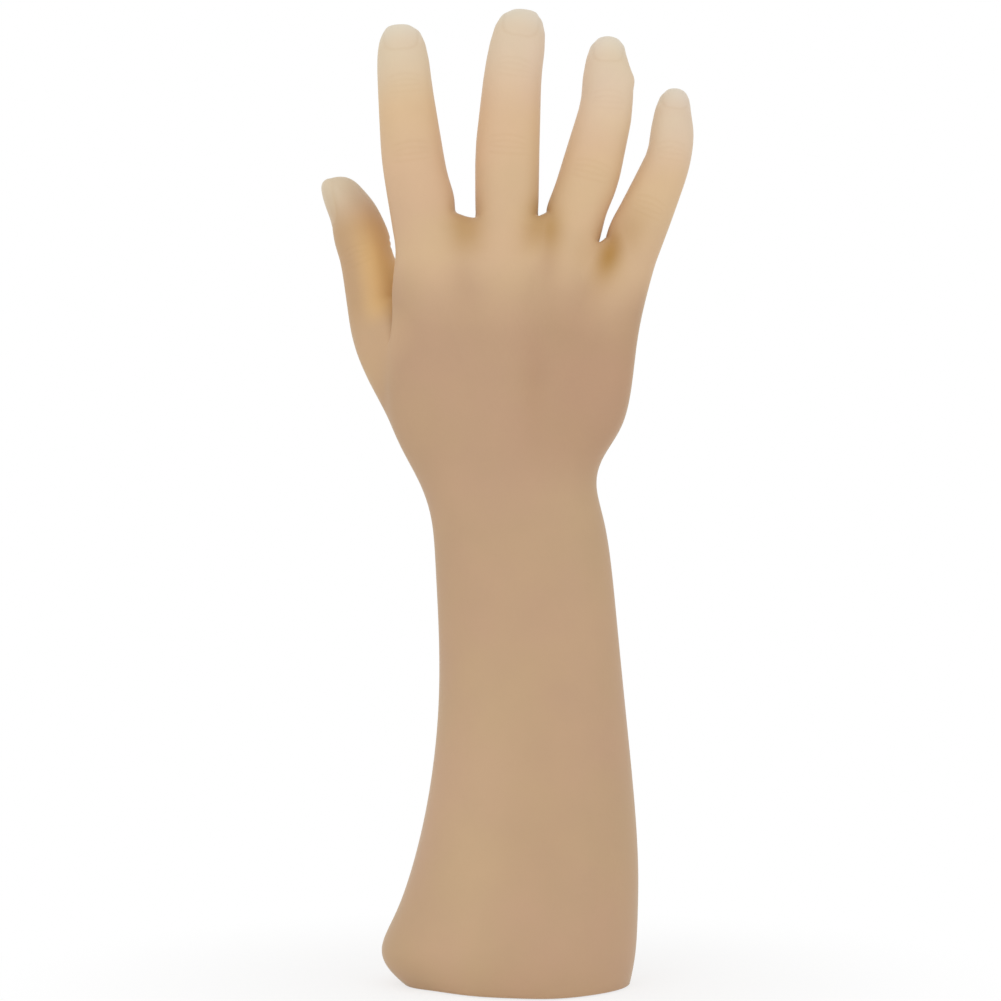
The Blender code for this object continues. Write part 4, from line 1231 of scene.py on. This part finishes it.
# Painted shade in the creases and nail grooves.
base = blended(tree, maths(tree, "MULTIPLY", amount("crease"), CREASE_SHADE), base, AMBER_COLOUR)
smoother = maths(tree, "MULTIPLY", amount("nail"), NAIL_GLOSS)
grain = pattern(tree, "TexVoronoi", GRAIN_SIZE, feature="SMOOTH_F1")["Distance"]
feed(tree, shader, {
    "Base Color": base,
    "Roughness": maths(tree, "ADD", ranged(tree, clouds, *CLOUD_VALUES, *GLOSS), smoother),
    "Normal": bump(tree, grain, 0.18, GRAIN_DEPTH),
    "IOR": 1.41,
    "Specular IOR Level": 0.4,
    "Sheen Weight": 0.30,               # the powder that keeps silicone from sticking
    "Sheen Roughness": 0.25,
    "Sheen Tint": colour("#e8f0e0"),
})
for piece in silicone_pieces:
    piece.data.materials.append(silicone)
print("silicone nodes:", len(tree.nodes))

# %% [markdown]
# ## The skeleton's finishes
#
# Only the core, the rod's end, its nut and its washer show, under the base. The links and pins are
# inside the silicone, but each still gets the finish that it has when it is taken out.

# %% Rigid polyurethane foam: pale yellow, dull, with small closed cells
CELL_SIZE, CELL_WALL, FOAM_PATCHES = 0.9 * MM, 0.12, 20 * MM
foam, tree, shader = new_material("rigid_polyurethane_foam")
cells = pattern(tree, "TexVoronoi", CELL_SIZE, feature="DISTANCE_TO_EDGE")["Distance"]
inside_cell = ranged(tree, cells, 0.0, CELL_WALL)
cell_colour = blended(tree, noise(tree, FOAM_PATCHES, 2.0), colour("#e6d8ac"), colour("#d8c48f"))
feed(tree, shader, {
    "Base Color": blended(tree, inside_cell, colour("#f0e6c4"), cell_colour),
    "Roughness": 0.92,
    "Normal": bump(tree, inside_cell, 0.5, 0.3 * MM, invert=True),
})
print("foam nodes:", len(tree.nodes))

# %% Injection-moulded nylon: milky white, satin, with faint flow clouds
FLOW_SIZE, FROST_SIZE = 6 * MM, 0.6 * MM
nylon, tree, shader = new_material("moulded_nylon")
flow = noise(tree, FLOW_SIZE, 3.0, Distortion=0.6)
feed(tree, shader, {
    "Base Color": blended(tree, flow, colour("#e9e7df"), colour("#dedbd0")),
    "Roughness": ranged(tree, flow, 0.0, 1.0, 0.36, 0.48),
    "Normal": bump(tree, noise(tree, FROST_SIZE, 2.0), 0.15, 0.08 * MM),
    "IOR": 1.53,
})
print("nylon nodes:", len(tree.nodes))

# %% Zinc-plated steel: bright bluish grey with turning lines and a cloudy plating
PLATING_SIZE, TURNING_SIZE = 4 * MM, 0.8 * MM
zinc, tree, shader = new_material("zinc_plated_steel")
plating = noise(tree, PLATING_SIZE, 4.0)
turning = pattern(tree, "TexWave", TURNING_SIZE, {"Distortion": 1.5, "Detail": 2.0}, bands_direction="Z")
feed(tree, shader, {
    "Base Color": blended(tree, plating, colour("#c9ccd0"), colour("#b2b5b6")),
    "Roughness": ranged(tree, plating, 0.0, 1.0, 0.24, 0.40),
    "Normal": bump(tree, turning["Fac"], 0.12, 0.04 * MM),
    "Metallic": 1.0,
})
print("zinc nodes:", len(tree.nodes))

# %% Give each CAD node its finish
FINISHES = {"rigid_foam": foam, "white_nylon": nylon, "zinc_plated_steel": zinc, "flesh_silicone": silicone}
slot_of = {entry["node"]: entry["material_slot"] for entry in frame["record"]["subparts"]}
for node_name, part in frame["nodes"].items():
    for material_slot in part.material_slots:
        material_slot.material = FINISHES[slot_of[node_name]]
print("nodes finished:", len(frame["nodes"]))

# %% [markdown]
# ## Studio
#
# The photograph is a cut-out on white under broad, even light. The world is an even white that
# lights softly from all sides, a large lamp at the upper left and a weaker one at the right give the
# roundness, and the floor is white, so only a faint shadow marks where the hand stands.

# %% World
WORLD_LIGHT, WORLD_SEEN = 0.80, 1.0     # how bright it is as a light, and as a backdrop


def any_ray(tree, *kinds):
    """1 for rays of the named kinds and 0 for all others."""
    rays = add(tree, "LightPath", {})
    seen = rays[kinds[0]]
    for kind in kinds[1:]:
        seen = maths(tree, "MAXIMUM", seen, rays[kind])
    return seen


world = bpy.data.worlds.new("even_white")
bpy.context.scene.world = world
world.use_nodes = True
tree = world.node_tree
seen = any_ray(tree, "Is Camera Ray", "Is Glossy Ray", "Is Transmission Ray")
feed(tree, tree.nodes["Background"], {"Color": (1, 1, 1, 1),
                                      "Strength": ranged(tree, seen, 0.0, 1.0, WORLD_LIGHT, WORLD_SEEN)})
print("world light:", WORLD_LIGHT)

# %% Floor
FLOOR_RADIUS, FLOOR_DROP = 8.0, 0.4 * MM
SHADOW_REACH = (0.05, 0.20)             # metres over which the floor turns into plain white
NEAR_WHITE = 0.72                       # how much of it is plain white at the hand
floor_bm = bmesh.new()
bmesh.ops.create_circle(floor_bm, cap_ends=True, segments=96, radius=FLOOR_RADIUS,
                        matrix=Matrix.Translation((0, 0, -FLOOR_DROP)))
floor = new_object("studio_floor", new_mesh("studio_floor", floor_bm))
print("floor radius:", FLOOR_RADIUS)

# %% White background paper that turns into plain white away from the hand
paper, tree, shader = new_material("white_background_paper")
feed(tree, shader, {"Base Color": colour("#fbfbfb"), "Roughness": 0.95, "Specular IOR Level": 0.1})
place = add(tree, "TexCoord", {})["Object"]
reach = add(tree, "VectorMath", {0: place}, operation="LENGTH")["Value"]
away = ranged(tree, reach, *SHADOW_REACH, NEAR_WHITE, 1.0, interpolation_type="SMOOTHSTEP")
share = maths(tree, "MULTIPLY", any_ray(tree, "Is Camera Ray", "Is Glossy Ray"), away)
glow = add(tree, "Emission", {"Color": (1, 1, 1, 1), "Strength": 1.0})
both = add(tree, "MixShader", {0: share, 1: shader.outputs[0], 2: glow[0]})
feed(tree, tree.nodes["Material Output"], {"Surface": both[0]})
floor.data.materials.append(paper)
print("paper nodes:", len(tree.nodes))


# %% Lamps
def area_lamp(name, place, aim, size, watts):
    lamp = bpy.data.lights.new(name, "AREA")
    lamp.shape = "SQUARE"
    lamp.size = size
    lamp.energy = watts
    holder = new_object(name, lamp)
    holder.location = place
    holder.rotation_euler = (Vector(aim) - Vector(place)).to_track_quat("-Z", "Y").to_euler()


MIDDLE = (0, 0, 0.2)
LAMP_SIZE = 1.2
area_lamp("key_softbox", (-0.9, -1.5, 1.1), MIDDLE, LAMP_SIZE, 4.6)
area_lamp("fill_softbox", (1.2, -1.2, 0.4), MIDDLE, LAMP_SIZE, 3.2)
print("lamps:", len(bpy.data.lights))

# %% Camera
# It looks level along +Y at the middle of the hand from about a metre.
VIEW_DISTANCE, VIEW_HEIGHT, VIEW_X = 1.05, 0.1733, -0.00264
FRAME_WIDTH = 0.3604            # metres across the picture at the hand
SENSOR_MM = 36.0
lens = bpy.data.cameras.new("camera")
lens.sensor_width = SENSOR_MM
lens.lens = SENSOR_MM * VIEW_DISTANCE / FRAME_WIDTH
camera = new_object("camera", lens)
camera.location = (VIEW_X, -VIEW_DISTANCE, VIEW_HEIGHT)
camera.rotation_euler = (radians(90), 0, 0)
bpy.context.scene.camera = camera
bpy.context.scene.view_settings.view_transform = "Standard"
print("lens:", round(lens.lens, 1), "mm")
